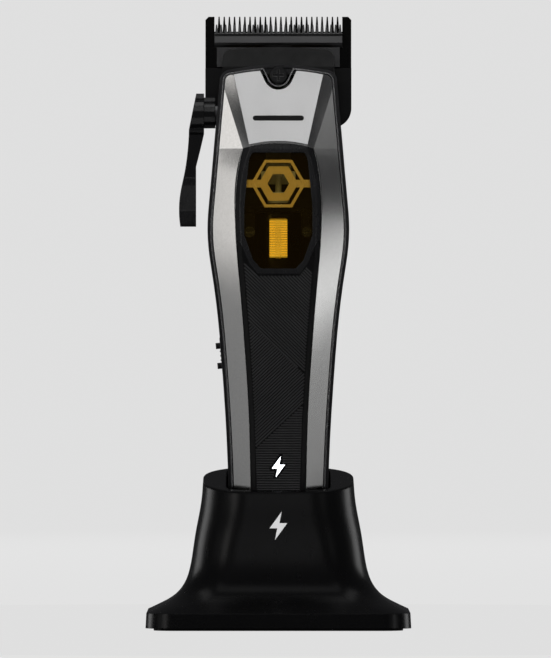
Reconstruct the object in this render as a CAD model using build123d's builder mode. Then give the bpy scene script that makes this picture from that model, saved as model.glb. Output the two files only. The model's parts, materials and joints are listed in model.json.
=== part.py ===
"""A cordless hair clipper, standing upright in its charging stand.

Millimetres, +Z up, the front faces -Y.  The origin is the middle of the stand's underside, on the surface
that the stand rests on.  The clipper is drawn where it stands, docked in the stand's pocket.
"""

import math
import os

from build123d import *

# ------------------------------------------------------------------ driving dimensions
BASE_WIDTH = 82.9                 # stand, left to right
BASE_DEPTH = 78.0                 # stand, front to back
FOOT_HEIGHT = 0.7                 # rubber pad under the stand
SLAB_TOP = 5.4                    # straight-sided part of the stand's base
WALL = 2.4                        # stand's wall
POCKET_FLOOR = 29.5
POCKET_PAD = 1.0                  # soft pad on the pocket's floor
DOCK_GAP = 0.1                    # air between the pad and the docked clipper
RIM_MIDDLE = 46.8                 # height of the stand's slanted rim, on the centre line
RIM_SLOPE = 10.5                  # degrees, the rim is lower in front

BODY_BOTTOM = POCKET_FLOOR + POCKET_PAD + DOCK_GAP
BODY_TOP = 176.8                  # top of the housing's front frame, in the middle
HEAD_START = 150.0                # the nose cowl and the blade set are above this height
FACE_PEAK = 132.0                 # height where the front face stands out the most
FACE_Y = -20.0                    # front face at its peak
FACE_BEND = 0.0005                # how fast the face falls back, per square millimetre of height
RIM_BACK = 4.5                    # the frame's front edge, behind the face
PARTING_Y = 2.0                   # where the front frame meets the rear housing
HEAD_PARTING_Y = -6.0             # the same, beside the nose cowl
FIT = 0.05                        # air between parts that are fitted to each other

BLADE_WIDTH = 46.0                # the standard width of a clipper's comb blade
BLADE_TIP = 192.5                 # height of the comb's teeth tips
COMB_ROOT = 187.8
COMB_FRONT = 9.7
COMB_BACK = 12.3
END_TOOTH = 2.85
COMB_TEETH = 24
COMB_PITCH = 1.625
CUTTER_WIDTH = 40.3
CUTTER_TIP = 190.0
CUTTER_ROOT = 187.4
CUTTER_FRONT = 7.0
CUTTER_TEETH = 28
CUTTER_PITCH = 1.444
CRANK_THROW = 1.0                 # half the cutter's stroke
BLADE_FEED = 1.6                  # how far the comb goes back when the lever is swung
LEVER_SWING = 50.0                # degrees

LEVER_Y = -1.0                    # the lever's pivot, an axis along X
LEVER_Z = 161.8
MOTOR_Y = -6.0                    # the motor's axis, along Z
MOTOR_RADIUS = 7.8
MOTOR_BOTTOM = 86.0
MOTOR_TOP = 130.5
CELL_Y = 2.5
CELL_RADIUS = 8.6
CELL_BOTTOM = 39.5
CELL_TOP = 84.5
SWITCH_Y = 6.0
SWITCH_Z = 85.6
SWITCH_LEAN = 5.0                 # degrees, the side wall's slope along the switch

DEEP = 60.0                       # longer than anything it cuts

# housing seen from the front: height and half-width, up to the rounded top corners
SIDE_LINE = [
    (BODY_BOTTOM, 15.45),
    (50.7, 15.85),
    (65.8, 16.55),
    (80.8, 17.55),
    (95.9, 18.8),
    (110.9, 20.7),
    (118.0, 21.75),
    (126.0, 22.2),
    (136.0, 21.5),
    (151.0, 20.2),
    (171.5, 18.4),
]
TOP_CORNER = (14.6, 175.3)
TOP_CORNER_MIDDLE = (17.35, 174.25)

# faceted front face: height, half-width of the flat middle, half-width where the side strip starts,
# half-width beyond the side strip, drop of the middle's border, drop of the strip's far edge
FACE_LOWER = [
    (BODY_BOTTOM, 6.8, 8.3, 13.8, 1.2, 4.7),
    (46.0, 7.2, 8.7, 14.4, 1.2, 4.7),
    (65.8, 7.7, 9.2, 15.4, 1.2, 4.7),
    (88.7, 9.1, 10.6, 17.2, 1.2, 4.7),
    (105.3, 10.4, 11.9, 19.3, 1.2, 4.7),
    (124.0, 11.8, 13.4, 21.3, 1.3, 4.7),
    (150.5, 8.9, 11.1, 19.5, 1.5, 4.7),
]
FACE_UPPER = [
    (150.5, 8.9, 11.1, 19.5, 1.5, 4.7),
    (177.0, 14.8, 19.4, 24.0, 1.9, 3.4),
]
UPPER_FACE_Y = -16.0              # the plate's top, where the head slopes back

# stand's neck: height, half-width, half-depth, corner radius
NECK = [
    (SLAB_TOP, 41.2, 38.8, 9.0),
    (6.8, 38.3, 35.9, 9.5),
    (9.3, 33.8, 31.2, 11.0),
    (13.1, 30.1, 27.4, 12.5),
    (18.1, 28.0, 25.1, 13.5),
    (28.1, 26.3, 23.0, 14.5),
    (40.7, 24.1, 20.6, 15.0),
    (53.0, 22.0, 18.4, 15.0),
]
INNER_NECK_TOP = 27.0

# ------------------------------------------------------------------ sizes of the stand
POCKET = (32.7, 33.6)             # width and depth of the pocket
POCKET_CORNER = 5.0
POCKET_MIDDLE_Y = -0.2
BASE_CORNER = 9.2
FOOT_PAD = (77.8, 73.0)
FOOT_PAD_HOLE = (67.8, 63.0)
BALLAST = (50.0, 30.0, 6.0)       # steel plate that keeps the stand from tipping
BALLAST_HOLE_X = 18.0
STAND_BOARD = (30.0, 24.0, 1.6)
PLATE_TOP = 2.8                   # top of the base plate
INLET_Z = 9.3
INLET_FACE_Y = 29.0
PIN_SPACING = 8.0                 # between the two charging pins
PIN_Y = 7.0
PIN_RADIUS = 0.9
BOARD_Z = 22.0
INLET_RADIUS = 3.9
INLET_BORE = 5.5
INLET_LENGTH = 10.0
INLET_PIN = 0.65                  # radius of the pin in the inlet's middle
INLET_BLOCK = (16.0, 19.0, 12.6)  # block in the back wall that carries the inlet
PLUG_RECESS = (12.0, 20.0, 9.6)   # what the plug's body goes into
POST_RADIUS = 3.0
POST_HEIGHT = 17.0
SCREW_HEAD_DEPTH = 1.4
SIGN_DEPTH = 0.4
STAND_SIGN_HEIGHT = 9.0
STAND_SIGN_Z = 32.5
STAND_SCREW_HEAD = 2.6
STAND_SCREW_RADIUS = 1.25
CONTACT_Z = BODY_BOTTOM + 0.3     # underside of the clipper's charging contacts
SCREW_POSTS = [(x, y, PLATE_TOP) for x in (-21, 21) for y in (-20, 20)]

# ------------------------------------------------------------------ sizes of the housing
LOW_SCREWS = (8.0, 35.9)          # x and z of the low pair of housing screws
HIGH_SCREWS = (13.0, 140.0)       # x and z of the high pair
HOUSING_SCREWS = [(side * x, z) for x, z in (LOW_SCREWS, HIGH_SCREWS) for side in (-1, 1)]
SCREW_SHANK = 1.1
SCREW_HEAD = 2.1
SCREW_SEAT_Y = 12.4               # where the housing screws' heads sit
SCREW_END_Y = -4.0
REAR_WALL = 2.0
REAR_TOP = 155.5
BACK_LINE = [(14.6, BODY_BOTTOM), (16.6, 75.0), (17.5, 115.0), (16.9, 137.0), (12.4, REAR_TOP)]
CARRIER_FRONT = 4.1
CONTACT_PLATE = (16.0, 5.0, 1.4)
CONTACT_RADIUS = 1.8
BOSS_RADIUS = 2.5
SWITCH_TRAVEL = 6.0
SWITCH_RECESS = 0.9
SWITCH_KNOB = (5.8, 11.4)         # width and length of the thumb switch
SWITCH_STEM = (5.0, 2.2)
SWITCH_SIDE = Plane(origin=(-17.9, SWITCH_Y, SWITCH_Z), x_dir=(0, -1, 0),
                    z_dir=(-math.cos(math.radians(SWITCH_LEAN)), 0, -math.sin(math.radians(SWITCH_LEAN))))

# ------------------------------------------------------------------ sizes of the front face
SCREW_Z = 173.5                   # the cover's screw, in its notch
NOTCH_FLARE = 25.0                # degrees, how far the notch's sides lean out
NOTCH_RISE = 6.0
COVER_INSET = 1.7                 # chrome cover inside the frame's outline
COVER_THICK = 1.5
TRIM_INSET = 0.95
TRIM_WIDTH = 0.45
COVER_SCREW_SHANK = 1.3
COVER_SCREW_HEAD = 2.7
COVER_SCREW_FRONT = -15.6
COVER_SCREW_SEAT = -13.0
SIGN_HEIGHT = 6.6                 # the lit charging sign in the grip
SIGN_Z = 50.9
LEDGE_INSET = 2.9                 # inner edge of the ledge that carries the cover
LEDGE_SHIFT = 1.65                # ledge behind the frame's front edge
NOTCH_TRIM = 3.2                  # inner radius of the trim around the screw
NOTCH = 4.6                       # radius of the notch in the cover
PANEL_DEPTH = 0.15                # black middle behind the chrome
PLATE_THICK = 0.45

# ------------------------------------------------------------------ sizes of the head and the lever
COWL_HALF = 17.55                 # the nose cowl's half-width at its top
COWL_WALL = 1.9
COWL_FRONT = HEAD_PARTING_Y + FIT
COWL_BACK = 4.0
CARRIER_BACK = COMB_FRONT - 0.1
CARRIER_BOTTOM = 157.5
CARRIER_TOP = 176.1
COMB_BOTTOM = 158.0
HEEL_CORNER = 6.0                 # rounding of the lower corners of the comb and its carrier
BLADE_SCREWS = [(-10.0, 166.0), (10.0, 166.0)]
BLADE_SCREW_RADIUS = 1.4
CUTTER_BACK = COMB_FRONT - 0.1
CUTTER_BOTTOM = 176.6
BAR_BOTTOM = 182.8
TAIL_FRONT = 7.6
LUG_FRONT = -5.3
NECK_X = -19.8                    # the lever's neck ends here, beside the cowl
HUB_X = -23.5                     # the hub's inner face
CAM_THROW = BLADE_FEED / math.sin(math.radians(LEVER_SWING))
CAM_PIN = 0.8
CAM_RADIUS = 3.3
CAM_X = (-17.0, -15.2)            # the cam's two faces
LUG_X = (-15.0, -13.4)            # the carrier's lug, which the cam's pin works in
SHAFT_RADIUS = 2.4
HUB_END = -27.0                   # the hub's outer face at the pivot
SHAFT_END = HUB_END + 2.0         # where the screw's head rests on the shaft
LEVER_TOP = 168.0
LEVER_BOTTOM = 126.2
LEVER_SCREW_HEAD = 2.9
LEVER_SCREW_SHANK = 1.2
NECK_SIZE = 0.80                  # the neck's section, compared with the hub's
# the lever seen from the side, y and z: its front from the top down, and its back from the bottom up
HUB_FRONT = [(-3.0, LEVER_TOP), (-5.4, 166.5), (-5.1, 165.7), (-6.9, 164.1), (-7.1, 162.4), (-6.2, 160.2),
             (-7.1, 158.4), (-5.6, 157.1), (-6.2, 155.8)]
HUB_BACK = [(4.2, 156.0), (5.2, 161.8), (3.4, 166.6), (1.0, LEVER_TOP)]
# the neck stays inside the circle that clears the carrier when the lever is swung
NECK_BACK = [(0.5, 157.2), (2.3, 158.5), (3.8, 161.8), (2.4, 165.1), (0.6, 166.4)]
LEVER_FRONT = HUB_FRONT + [(-5.2, 155.0), (-4.6, 148.0), (-4.2, 141.5), (-4.9, 139.0), (-5.3, 131.2),
                           (-6.2, 127.2), (-6.0, LEVER_BOTTOM)]
LEVER_BACK = [(3.6, LEVER_BOTTOM), (3.5, 131.0), (2.6, 148.0)] + HUB_BACK

# ------------------------------------------------------------------ sizes of the drive and the power
CRANK_PIN = 1.0
CAN_BORE = 7.3
CAN_END = 2.0
BEARING_RADIUS = 2.5
SPINDLE_RADIUS = 1.0
ECCENTRIC_Z = (133.5, 137.0)
WINDING_Z = (116.8, 128.0)
WINDING_TURNS = 16
MOTOR_SCREW = (9.0, 124.4)        # x and z of the motor's mounting screws
MOTOR_SCREW_HEAD = 1.6
MOTOR_SCREW_SHANK = 0.8
ROTOR_RADIUS = 6.0
ROTOR_Z = (92.0, 114.0)
ROTOR_SLOTS = 5
ECCENTRIC_RADIUS = 3.6
BRACKET = (36.0, 13.0, 1.6)       # the plate that the motor hangs from
BRACKET_Z = MOTOR_TOP + 0.1
BRACKET_FRONT = MOTOR_Y - BRACKET[1] / 2
BRACKET_EAR = 1.7                 # half-width of the ears that the motor's screws go through
BADGE_FRONT = -17.9
BADGE_Z = 139.5
BADGE_RINGS = [(8.6, 7.5), (6.2, 3.4)]       # outer and inner radius of the two hexagons
BADGE_THICK = 0.9
BADGE_BAR = (23.4, 2.4)           # the bar behind them, which is held by the bezel
BOARD_FRONT = -9.4
BOARD = (18.0, 44.0, 1.6)
BOARD_MIDDLE_Z = 62.0
# parts on the board: x, z, width, height, thickness
BOARD_PARTS = [(-3.0, 70.0, 7.0, 7.0, 1.0), (4.5, 60.0, 4.0, 3.0, 0.8), (-5.0, 52.0, 4.0, 6.0, 0.8),
               (0.0, SIGN_Z, 3.0, 3.0, 0.6), (4.0, 78.0, 5.0, 4.0, 1.2)]
CELL_CONTACT = (9.0, 6.0, 0.75)
TRAY_RADIUS = 9.9
YOKE_Z = (139.5, 143.5)
YOKE_ARM_Y = (0.2, 3.2)
BRIDGE_Z = (176.9, 179.0)
PIN_ROOM = CRANK_PIN + 2 * CRANK_THROW + 0.15

# ------------------------------------------------------------------ drawing
def face_y(height):
    """How far forward the middle of the front face is at a height."""
    if height <= FACE_LOWER[-1][0]:
        return FACE_Y + FACE_BEND * (height - FACE_PEAK) ** 2
    return UPPER_FACE_Y


def rim_points(shift):
    """The frame's front edge in side view, from the bottom up, moved back by a distance."""
    points = [(face_y(height) + RIM_BACK + shift, height) for height in (BODY_BOTTOM, 75.0, 115.0, 150.5)]
    points.append((-14.6 + shift, BODY_TOP + 2))
    return points


def draw_housing(inset=0.0):
    """Draws the clipper's housing, seen from the front and drawn in by a distance, in the open sketch."""
    right_side = [(half_width - inset, height) for height, half_width in SIDE_LINE]
    right_side[0] = (right_side[0][0], BODY_BOTTOM + inset)
    left_side = [(-half_width, height) for half_width, height in right_side]
    middle = (TOP_CORNER_MIDDLE[0] - 0.75 * inset, TOP_CORNER_MIDDLE[1] - 0.7 * inset)
    end = (TOP_CORNER[0] - 0.15 * inset, TOP_CORNER[1] - inset)
    with BuildLine() as outline:
        Spline(*right_side)
        ThreePointArc(right_side[-1], middle, end)
        ThreePointArc(end, (0, BODY_TOP - inset), (-end[0], end[1]))
        ThreePointArc((-end[0], end[1]), (-middle[0], middle[1]), left_side[-1])
        Spline(*reversed(left_side))
        Line(left_side[0], right_side[0])
    make_face(outline.edges())


def draw_frame_side(shift=0.0):
    """Draws the front frame's side view in the open sketch."""
    points = rim_points(shift)
    top = points[-1][1]
    with BuildLine() as outline:
        Spline(*points)
        Polyline(points[-1], (HEAD_PARTING_Y, top), (HEAD_PARTING_Y, HEAD_START),
                 (PARTING_Y, HEAD_START), (PARTING_Y, BODY_BOTTOM), points[0])
    make_face(outline.edges())


def draw_window(inset=0.0):
    """Draws the amber window's opening in the open sketch."""
    half = [(8.2, 149.2), (9.2, 147.0), (10.7, 131.8), (10.7, 123.5), (7.9, 115.6), (5.4, 112.9)]
    corners = half + [(-x, z) for x, z in reversed(half)]
    with BuildLine() as outline:
        FilletPolyline(*corners, radius=1.2, close=True)
    make_face(outline.edges())
    if inset:
        offset(amount=-inset, mode=Mode.REPLACE)


def draw_panel(inset=0.0):
    """Draws the black middle of the front, between the chrome strips, in the open sketch."""
    right_side = [(station[2] - inset, station[0]) for station in FACE_LOWER]
    left_side = [(-half_width, height) for half_width, height in right_side]
    with BuildLine() as outline:
        Spline(*right_side)
        ThreePointArc(right_side[-1], (0, 152.1 - inset), left_side[-1])
        Spline(*reversed(left_side))
        Line(left_side[0], right_side[0])
    make_face(outline.edges())


def draw_bezel_end(grow=0.0):
    """Draws all that is above the joint between the window's bezel and the grip, in the open sketch."""
    half = [(25, 165), (25, 121.5 - grow), (12.2, 121.5 - grow), (8.9 + grow, 114.0 - grow),
            (6.5 + grow, 111.2 - grow)]
    with BuildLine() as outline:
        Polyline(*half, *[(-x, z) for x, z in reversed(half)], close=True)
    make_face(outline.edges())


def draw_name_plate(inset=0.0):
    """Draws the satin plate above the window in the open sketch."""
    low, high = [(flat, height) for height, flat, *rest in FACE_UPPER]
    slope = (high[0] - low[0]) / (high[1] - low[1])
    bottom = (low[0] + 1.2 * slope, low[1] + 1.2)
    with BuildLine() as outline:
        ThreePointArc((-bottom[0], bottom[1]), (0, 152.8), bottom)
        Polyline(bottom, high, (-high[0], high[1]), (-bottom[0], bottom[1]))
    make_face(outline.edges())
    if inset:
        offset(amount=-inset, mode=Mode.REPLACE)


def draw_notch(radius):
    """Draws the notch around the cover's screw, a U that flares towards its open top, in the open sketch."""
    flare = math.radians(NOTCH_FLARE)
    start = (radius * math.cos(flare), SCREW_Z - radius * math.sin(flare))
    end = (start[0] + NOTCH_RISE * math.tan(flare), start[1] + NOTCH_RISE)
    with BuildLine() as outline:
        ThreePointArc((-start[0], start[1]), (0, SCREW_Z - radius), start)
        Polyline(start, end, (-end[0], end[1]), (-start[0], start[1]))
    make_face(outline.edges())


def draw_within_housing(inset):
    """Cuts the open sketch off at the housing's outline, drawn in by a distance."""
    with BuildSketch(mode=Mode.PRIVATE) as housing:
        draw_housing(inset)
    add(housing.sketch, mode=Mode.INTERSECT)


def draw_plate_bar():
    """Draws the plain dark bar on the name plate in the open sketch."""
    with Locations((0, 160.0)):
        SlotOverall(16.0, 1.6)


def draw_bolt_symbol(height, z):
    """Draws the generic sign for charging, a lightning bolt, in the open sketch."""
    unit = height / 10.0
    points = [(1.2, 5), (-3.1, -0.9), (-0.4, -0.9), (-1.2, -5), (3.1, 0.9), (0.4, 0.9)]
    with BuildLine() as outline:
        Polyline(*[(x * unit, z + rise * unit) for x, rise in points], close=True)
    make_face(outline.edges())


def draw_cowl(inset, bottom):
    """Draws the nose cowl, seen from the front, in the open sketch."""
    half = [(20.1, bottom), (18.7, 169.0), (COWL_HALF, 175.5), (COWL_HALF, 179.0)]
    right_side = [(x - inset, z) for x, z in half]
    left_side = [(-x, z) for x, z in right_side]
    shoulder = (COWL_HALF - 3.0 - 0.3 * inset, 182.0 - inset)
    corner = (COWL_HALF - 0.8 - 0.8 * inset, 181.1 - 0.7 * inset)
    with BuildLine() as outline:
        Polyline(*right_side)
        ThreePointArc(right_side[-1], corner, shoulder)
        ThreePointArc(shoulder, (0, 182.7 - inset), (-shoulder[0], shoulder[1]))
        ThreePointArc((-shoulder[0], shoulder[1]), (-corner[0], corner[1]), left_side[-1])
        Polyline(*reversed(left_side), right_side[0])
    make_face(outline.edges())


def face_band(depth, thickness):
    """A skin that follows the whole faceted front face, some way behind it."""
    with BuildPart() as band:
        for stations, ruled in ((FACE_LOWER, False), (FACE_UPPER, True)):
            for height, flat, strip, edge, flat_drop, edge_drop in stations:
                front = face_y(height)
                right = [(flat, front), (strip, front + flat_drop), (edge, front + edge_drop)]
                line = [(-x, y) for x, y in reversed(right)] + right
                outside = [(x, y + depth) for x, y in line]
                inside = [(x, y + depth + thickness) for x, y in reversed(line)]
                with BuildSketch(Plane.XY.offset(height)):
                    with BuildLine():
                        Polyline(*outside, *inside, close=True)
                    make_face()
            loft(ruled=ruled)
    return band.part


def at_y(y):
    """A front-view plane at a depth; extruding by a negative amount goes back, towards +Y."""
    return Plane.XZ.offset(-y)


def at_x(x):
    """A side-view plane at a distance from the middle; its sketches are in (y, z)."""
    return Plane.YZ.offset(x)


def save(builder, name):
    """Labels a finished piece and writes it as a STEP file."""
    builder.part.label = name
    export_step(builder.part, f"parts/{name}.step")


os.makedirs("parts", exist_ok=True)

# ------------------------------------------------------------------ charging stand
with BuildPart() as stand_body:
    with BuildSketch(Plane.XY.offset(FOOT_HEIGHT)):
        RectangleRounded(BASE_WIDTH, BASE_DEPTH, BASE_CORNER)
    with BuildSketch(Plane.XY.offset(SLAB_TOP)):
        RectangleRounded(2 * NECK[0][1], 2 * NECK[0][2], 9.0)
    loft(ruled=True)
    for height, half_width, half_depth, corner in NECK:
        with BuildSketch(Plane.XY.offset(height)):
            RectangleRounded(2 * half_width, 2 * half_depth, corner)
    loft()
    # the slanted rim
    with BuildSketch(Plane.YZ):
        with BuildLine():
            rise = math.tan(math.radians(RIM_SLOPE)) * DEEP
            Polyline((-DEEP, RIM_MIDDLE - rise), (DEEP, RIM_MIDDLE + rise), (DEEP, 2 * DEEP),
                     (-DEEP, 2 * DEEP), close=True)
        make_face()
    extrude(amount=DEEP, both=True, mode=Mode.SUBTRACT)
    fillet(stand_body.edges().group_by(Axis.Z)[-1], radius=0.8)

# the sign on the stand's front is a thin inlay, flush with the surface
with BuildPart() as stand_charge_sign:
    with BuildSketch(at_y(-30)):
        draw_bolt_symbol(STAND_SIGN_HEIGHT, STAND_SIGN_Z)
    extrude(amount=-25)
    add(stand_body.part, mode=Mode.INTERSECT)
    add(stand_body.part.moved(Location((0, SIGN_DEPTH, 0))), mode=Mode.SUBTRACT)
save(stand_charge_sign, "stand_charge_sign")

# the block inside the back wall that carries the power inlet, and the posts for the screws
with BuildPart() as inner_blocks:
    with Locations((0, INLET_FACE_Y, INLET_Z - 0.1)):
        Box(*INLET_BLOCK)
    with Locations(*SCREW_POSTS):
        Cylinder(POST_RADIUS, POST_HEIGHT, align=(Align.CENTER, Align.CENTER, Align.MIN))
    add(stand_body.part, mode=Mode.INTERSECT)

with BuildPart() as stand_shell:
    add(stand_body.part)
    # the hollow underneath
    with BuildSketch(Plane.XY):
        RectangleRounded(BASE_WIDTH - 2 * WALL, BASE_DEPTH - 2 * WALL, 7.0)
    extrude(amount=PLATE_TOP + 0.1, mode=Mode.SUBTRACT)
    for height, half_width, half_depth, corner in [(PLATE_TOP, 41.4, 39.0, 9.4)] + NECK[1:5] + [
            (INNER_NECK_TOP, 26.5, 23.2, 14.4)]:
        with BuildSketch(Plane.XY.offset(height)):
            RectangleRounded(2 * (half_width - WALL), 2 * (half_depth - WALL), corner - WALL)
    loft(mode=Mode.SUBTRACT)
    add(inner_blocks.part)
    add(stand_charge_sign.part, mode=Mode.SUBTRACT)
    # the pocket
    with BuildSketch(Plane.XY.offset(POCKET_FLOOR)):
        with Locations((0, POCKET_MIDDLE_Y)):
            RectangleRounded(*POCKET, POCKET_CORNER)
    extrude(amount=DEEP, mode=Mode.SUBTRACT)
    # holes for the charging pins
    with Locations((-PIN_SPACING / 2, PIN_Y, POCKET_FLOOR), (PIN_SPACING / 2, PIN_Y, POCKET_FLOOR)):
        Cylinder(PIN_RADIUS + 0.1, 12, mode=Mode.SUBTRACT)
    # the recess that the plug goes into, and the inlet's bore
    with Locations((0, INLET_FACE_Y + PLUG_RECESS[1] / 2, INLET_Z)):
        Box(*PLUG_RECESS, mode=Mode.SUBTRACT)
    with Locations((0, INLET_FACE_Y - INLET_LENGTH / 2, INLET_Z)):
        Cylinder(INLET_RADIUS + FIT, INLET_LENGTH + 4, rotation=(90, 0, 0), mode=Mode.SUBTRACT)
    with Locations(*SCREW_POSTS):
        Cylinder(STAND_SCREW_RADIUS, 7, align=(Align.CENTER, Align.CENTER, Align.MIN),
                 mode=Mode.SUBTRACT)
save(stand_shell, "stand_shell")

with BuildPart() as stand_base_plate:
    with BuildSketch(Plane.XY.offset(FOOT_HEIGHT)):
        RectangleRounded(BASE_WIDTH - 2 * WALL - 2 * FIT, BASE_DEPTH - 2 * WALL - 2 * FIT, 6.9)
    extrude(amount=PLATE_TOP - FOOT_HEIGHT)
    with Locations(*[(x, y, FOOT_HEIGHT + SCREW_HEAD_DEPTH / 2) for x, y, z in SCREW_POSTS]):
        Cylinder(STAND_SCREW_HEAD + FIT, SCREW_HEAD_DEPTH, mode=Mode.SUBTRACT)
    with Locations(*SCREW_POSTS):
        Cylinder(STAND_SCREW_RADIUS + FIT, 12, mode=Mode.SUBTRACT)
save(stand_base_plate, "stand_base_plate")

with BuildPart() as stand_foot_pad:
    with BuildSketch(Plane.XY):
        RectangleRounded(*FOOT_PAD, 7.0)
        RectangleRounded(*FOOT_PAD_HOLE, 4.0, mode=Mode.SUBTRACT)
    extrude(amount=FOOT_HEIGHT)
save(stand_foot_pad, "stand_foot_pad")

with BuildPart() as stand_ballast:
    with BuildSketch(Plane.XY.offset(PLATE_TOP + FIT)):
        RectangleRounded(*BALLAST[:2], 4.0)
        with Locations((-BALLAST_HOLE_X, 0), (BALLAST_HOLE_X, 0)):
            Circle(2.2, mode=Mode.SUBTRACT)
    extrude(amount=BALLAST[2])
    fillet(stand_ballast.faces().sort_by(Axis.Z)[-1].edges(), radius=0.6)
save(stand_ballast, "stand_ballast")

with BuildPart() as stand_circuit_board:
    with BuildSketch(Plane.XY.offset(BOARD_Z)):
        RectangleRounded(*STAND_BOARD[:2], 2.0)
        with Locations((-PIN_SPACING / 2, PIN_Y), (PIN_SPACING / 2, PIN_Y)):
            Circle(PIN_RADIUS + FIT, mode=Mode.SUBTRACT)
    extrude(amount=STAND_BOARD[2])
    with Locations((-8, -4, BOARD_Z - 0.6), (3, -5, BOARD_Z - 0.6)):
        Box(6, 5, 1.2)
save(stand_circuit_board, "stand_circuit_board")

with BuildPart() as stand_contact_pins:
    with Locations((-PIN_SPACING / 2, PIN_Y, BOARD_Z - 1), (PIN_SPACING / 2, PIN_Y, BOARD_Z - 1)):
        Cylinder(PIN_RADIUS, CONTACT_Z - BOARD_Z + 1 - FIT, align=(Align.CENTER, Align.CENTER, Align.MIN))
    fillet(stand_contact_pins.edges().group_by(Axis.Z)[-1], radius=0.5)
save(stand_contact_pins, "stand_contact_pins")

with BuildPart() as pocket_pad:
    with BuildSketch(Plane.XY.offset(POCKET_FLOOR)):
        with Locations((0, POCKET_MIDDLE_Y)):
            RectangleRounded(POCKET[0] - 0.2, POCKET[1] - 0.2, POCKET_CORNER - 0.1)
        with Locations((0, PIN_Y)):
            RectangleRounded(PIN_SPACING + 6, 6, 2, mode=Mode.SUBTRACT)
    extrude(amount=POCKET_PAD)
save(pocket_pad, "pocket_pad")

with BuildPart() as stand_power_inlet:
    with Locations((0, INLET_FACE_Y - INLET_LENGTH / 2, INLET_Z)):
        Cylinder(INLET_RADIUS, INLET_LENGTH, rotation=(90, 0, 0))
    with Locations((0, INLET_FACE_Y - INLET_LENGTH / 2 + 1, INLET_Z)):
        Cylinder(INLET_BORE / 2, INLET_LENGTH - 2, rotation=(90, 0, 0), mode=Mode.SUBTRACT)
    with Locations((0, INLET_FACE_Y - INLET_LENGTH / 2, INLET_Z)):
        Cylinder(INLET_PIN, INLET_LENGTH - 1, rotation=(90, 0, 0))
save(stand_power_inlet, "stand_power_inlet")

with BuildPart() as stand_screws:
    for x, y, z in SCREW_POSTS:
        with Locations((x, y, FOOT_HEIGHT + SCREW_HEAD_DEPTH / 2)):
            Cylinder(STAND_SCREW_HEAD, SCREW_HEAD_DEPTH)
        with Locations((x, y, FOOT_HEIGHT + 4)):
            Cylinder(STAND_SCREW_RADIUS, 8)
        with Locations((x, y, FOOT_HEIGHT)):
            Box(3.0, 0.6, 0.8, mode=Mode.SUBTRACT)
            Box(0.6, 3.0, 0.8, mode=Mode.SUBTRACT)
save(stand_screws, "stand_screws")

# ------------------------------------------------------------------ clipper: housing
# the space that the cover and its trim sit in, down to the ledge that carries them
with BuildPart() as cover_seat:
    with BuildSketch(Plane.XZ):
        draw_housing(TRIM_INSET - FIT)
    extrude(amount=DEEP, both=True)
    with BuildSketch(Plane.YZ):
        draw_frame_side(LEDGE_SHIFT)
    extrude(amount=DEEP, both=True, mode=Mode.SUBTRACT)

with BuildPart() as front_frame:
    with BuildSketch(Plane.XZ):
        draw_housing()
    extrude(amount=DEEP, both=True)
    with BuildSketch(Plane.YZ):
        draw_frame_side()
    extrude(amount=DEEP, both=True, mode=Mode.INTERSECT)
    # the hollow, around the boss for the cover's screw and the ribs for the housing screws
    with BuildSketch(Plane.XZ):
        draw_housing(LEDGE_INSET)
        with Locations((0, SCREW_Z)):
            Circle(2.9, mode=Mode.SUBTRACT)
        with Locations((0, SCREW_Z + 3)):
            Rectangle(5.8, 6, mode=Mode.SUBTRACT)
        with Locations((HIGH_SCREWS[0] + 2, HIGH_SCREWS[1]), (-HIGH_SCREWS[0] - 2, HIGH_SCREWS[1])):
            Rectangle(9, 5, mode=Mode.SUBTRACT)
        with Locations((LOW_SCREWS[0], LOW_SCREWS[1] - 1), (-LOW_SCREWS[0], LOW_SCREWS[1] - 1)):
            Rectangle(5, 6, mode=Mode.SUBTRACT)
    extrude(amount=DEEP, both=True, mode=Mode.SUBTRACT)
    add(cover_seat.part, mode=Mode.SUBTRACT)
    with Locations((0, 0, SCREW_Z)):
        Cylinder(COVER_SCREW_SHANK + FIT, DEEP, rotation=(90, 0, 0), mode=Mode.SUBTRACT)
    with BuildSketch(at_y(COVER_SCREW_SEAT)):
        with Locations((0, SCREW_Z)):
            Circle(COVER_SCREW_HEAD + FIT)
    extrude(amount=10, mode=Mode.SUBTRACT)
    with Locations(*[(x, 0, z) for x, z in HOUSING_SCREWS]):
        Cylinder(SCREW_SHANK + FIT, DEEP, rotation=(90, 0, 0), mode=Mode.SUBTRACT)
save(front_frame, "front_frame")

with BuildPart() as rear_shape:
    with BuildSketch(Plane.XZ):
        draw_housing()
    extrude(amount=-DEEP)
    with BuildSketch(Plane.YZ):
        with BuildLine():
            Spline(*BACK_LINE)
            Polyline(BACK_LINE[-1], (CARRIER_FRONT + 0.1, REAR_TOP), (CARRIER_FRONT + 0.1, HEAD_START - FIT),
                     (PARTING_Y + FIT, HEAD_START - FIT), (PARTING_Y + FIT, BODY_BOTTOM), BACK_LINE[0])
        make_face()
    extrude(amount=DEEP, both=True, mode=Mode.INTERSECT)
    long_back_edges = rear_shape.edges().filter_by(lambda edge: edge.center().Y > 11 and edge.length > 30)
    fillet(long_back_edges, radius=5.0)

# the hollow inside the rear housing, open towards the frame and, for the cutter's yoke, towards the head
with BuildPart() as rear_hollow:
    with BuildSketch(Plane.XZ):
        draw_housing(REAR_WALL)
    extrude(amount=-DEEP)
    with BuildSketch(Plane.YZ):
        inner_back = [(y - REAR_WALL, z) for y, z in BACK_LINE[:-1]]
        with BuildLine():
            Spline(*inner_back)
            Polyline(inner_back[-1], (12.0, 147.5), (CARRIER_FRONT + 0.1, 147.5),
                     (CARRIER_FRONT + 0.1, 165.0), (0, 165.0), (0, BODY_BOTTOM), inner_back[0])
        make_face()
    extrude(amount=DEEP, both=True, mode=Mode.INTERSECT)

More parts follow.
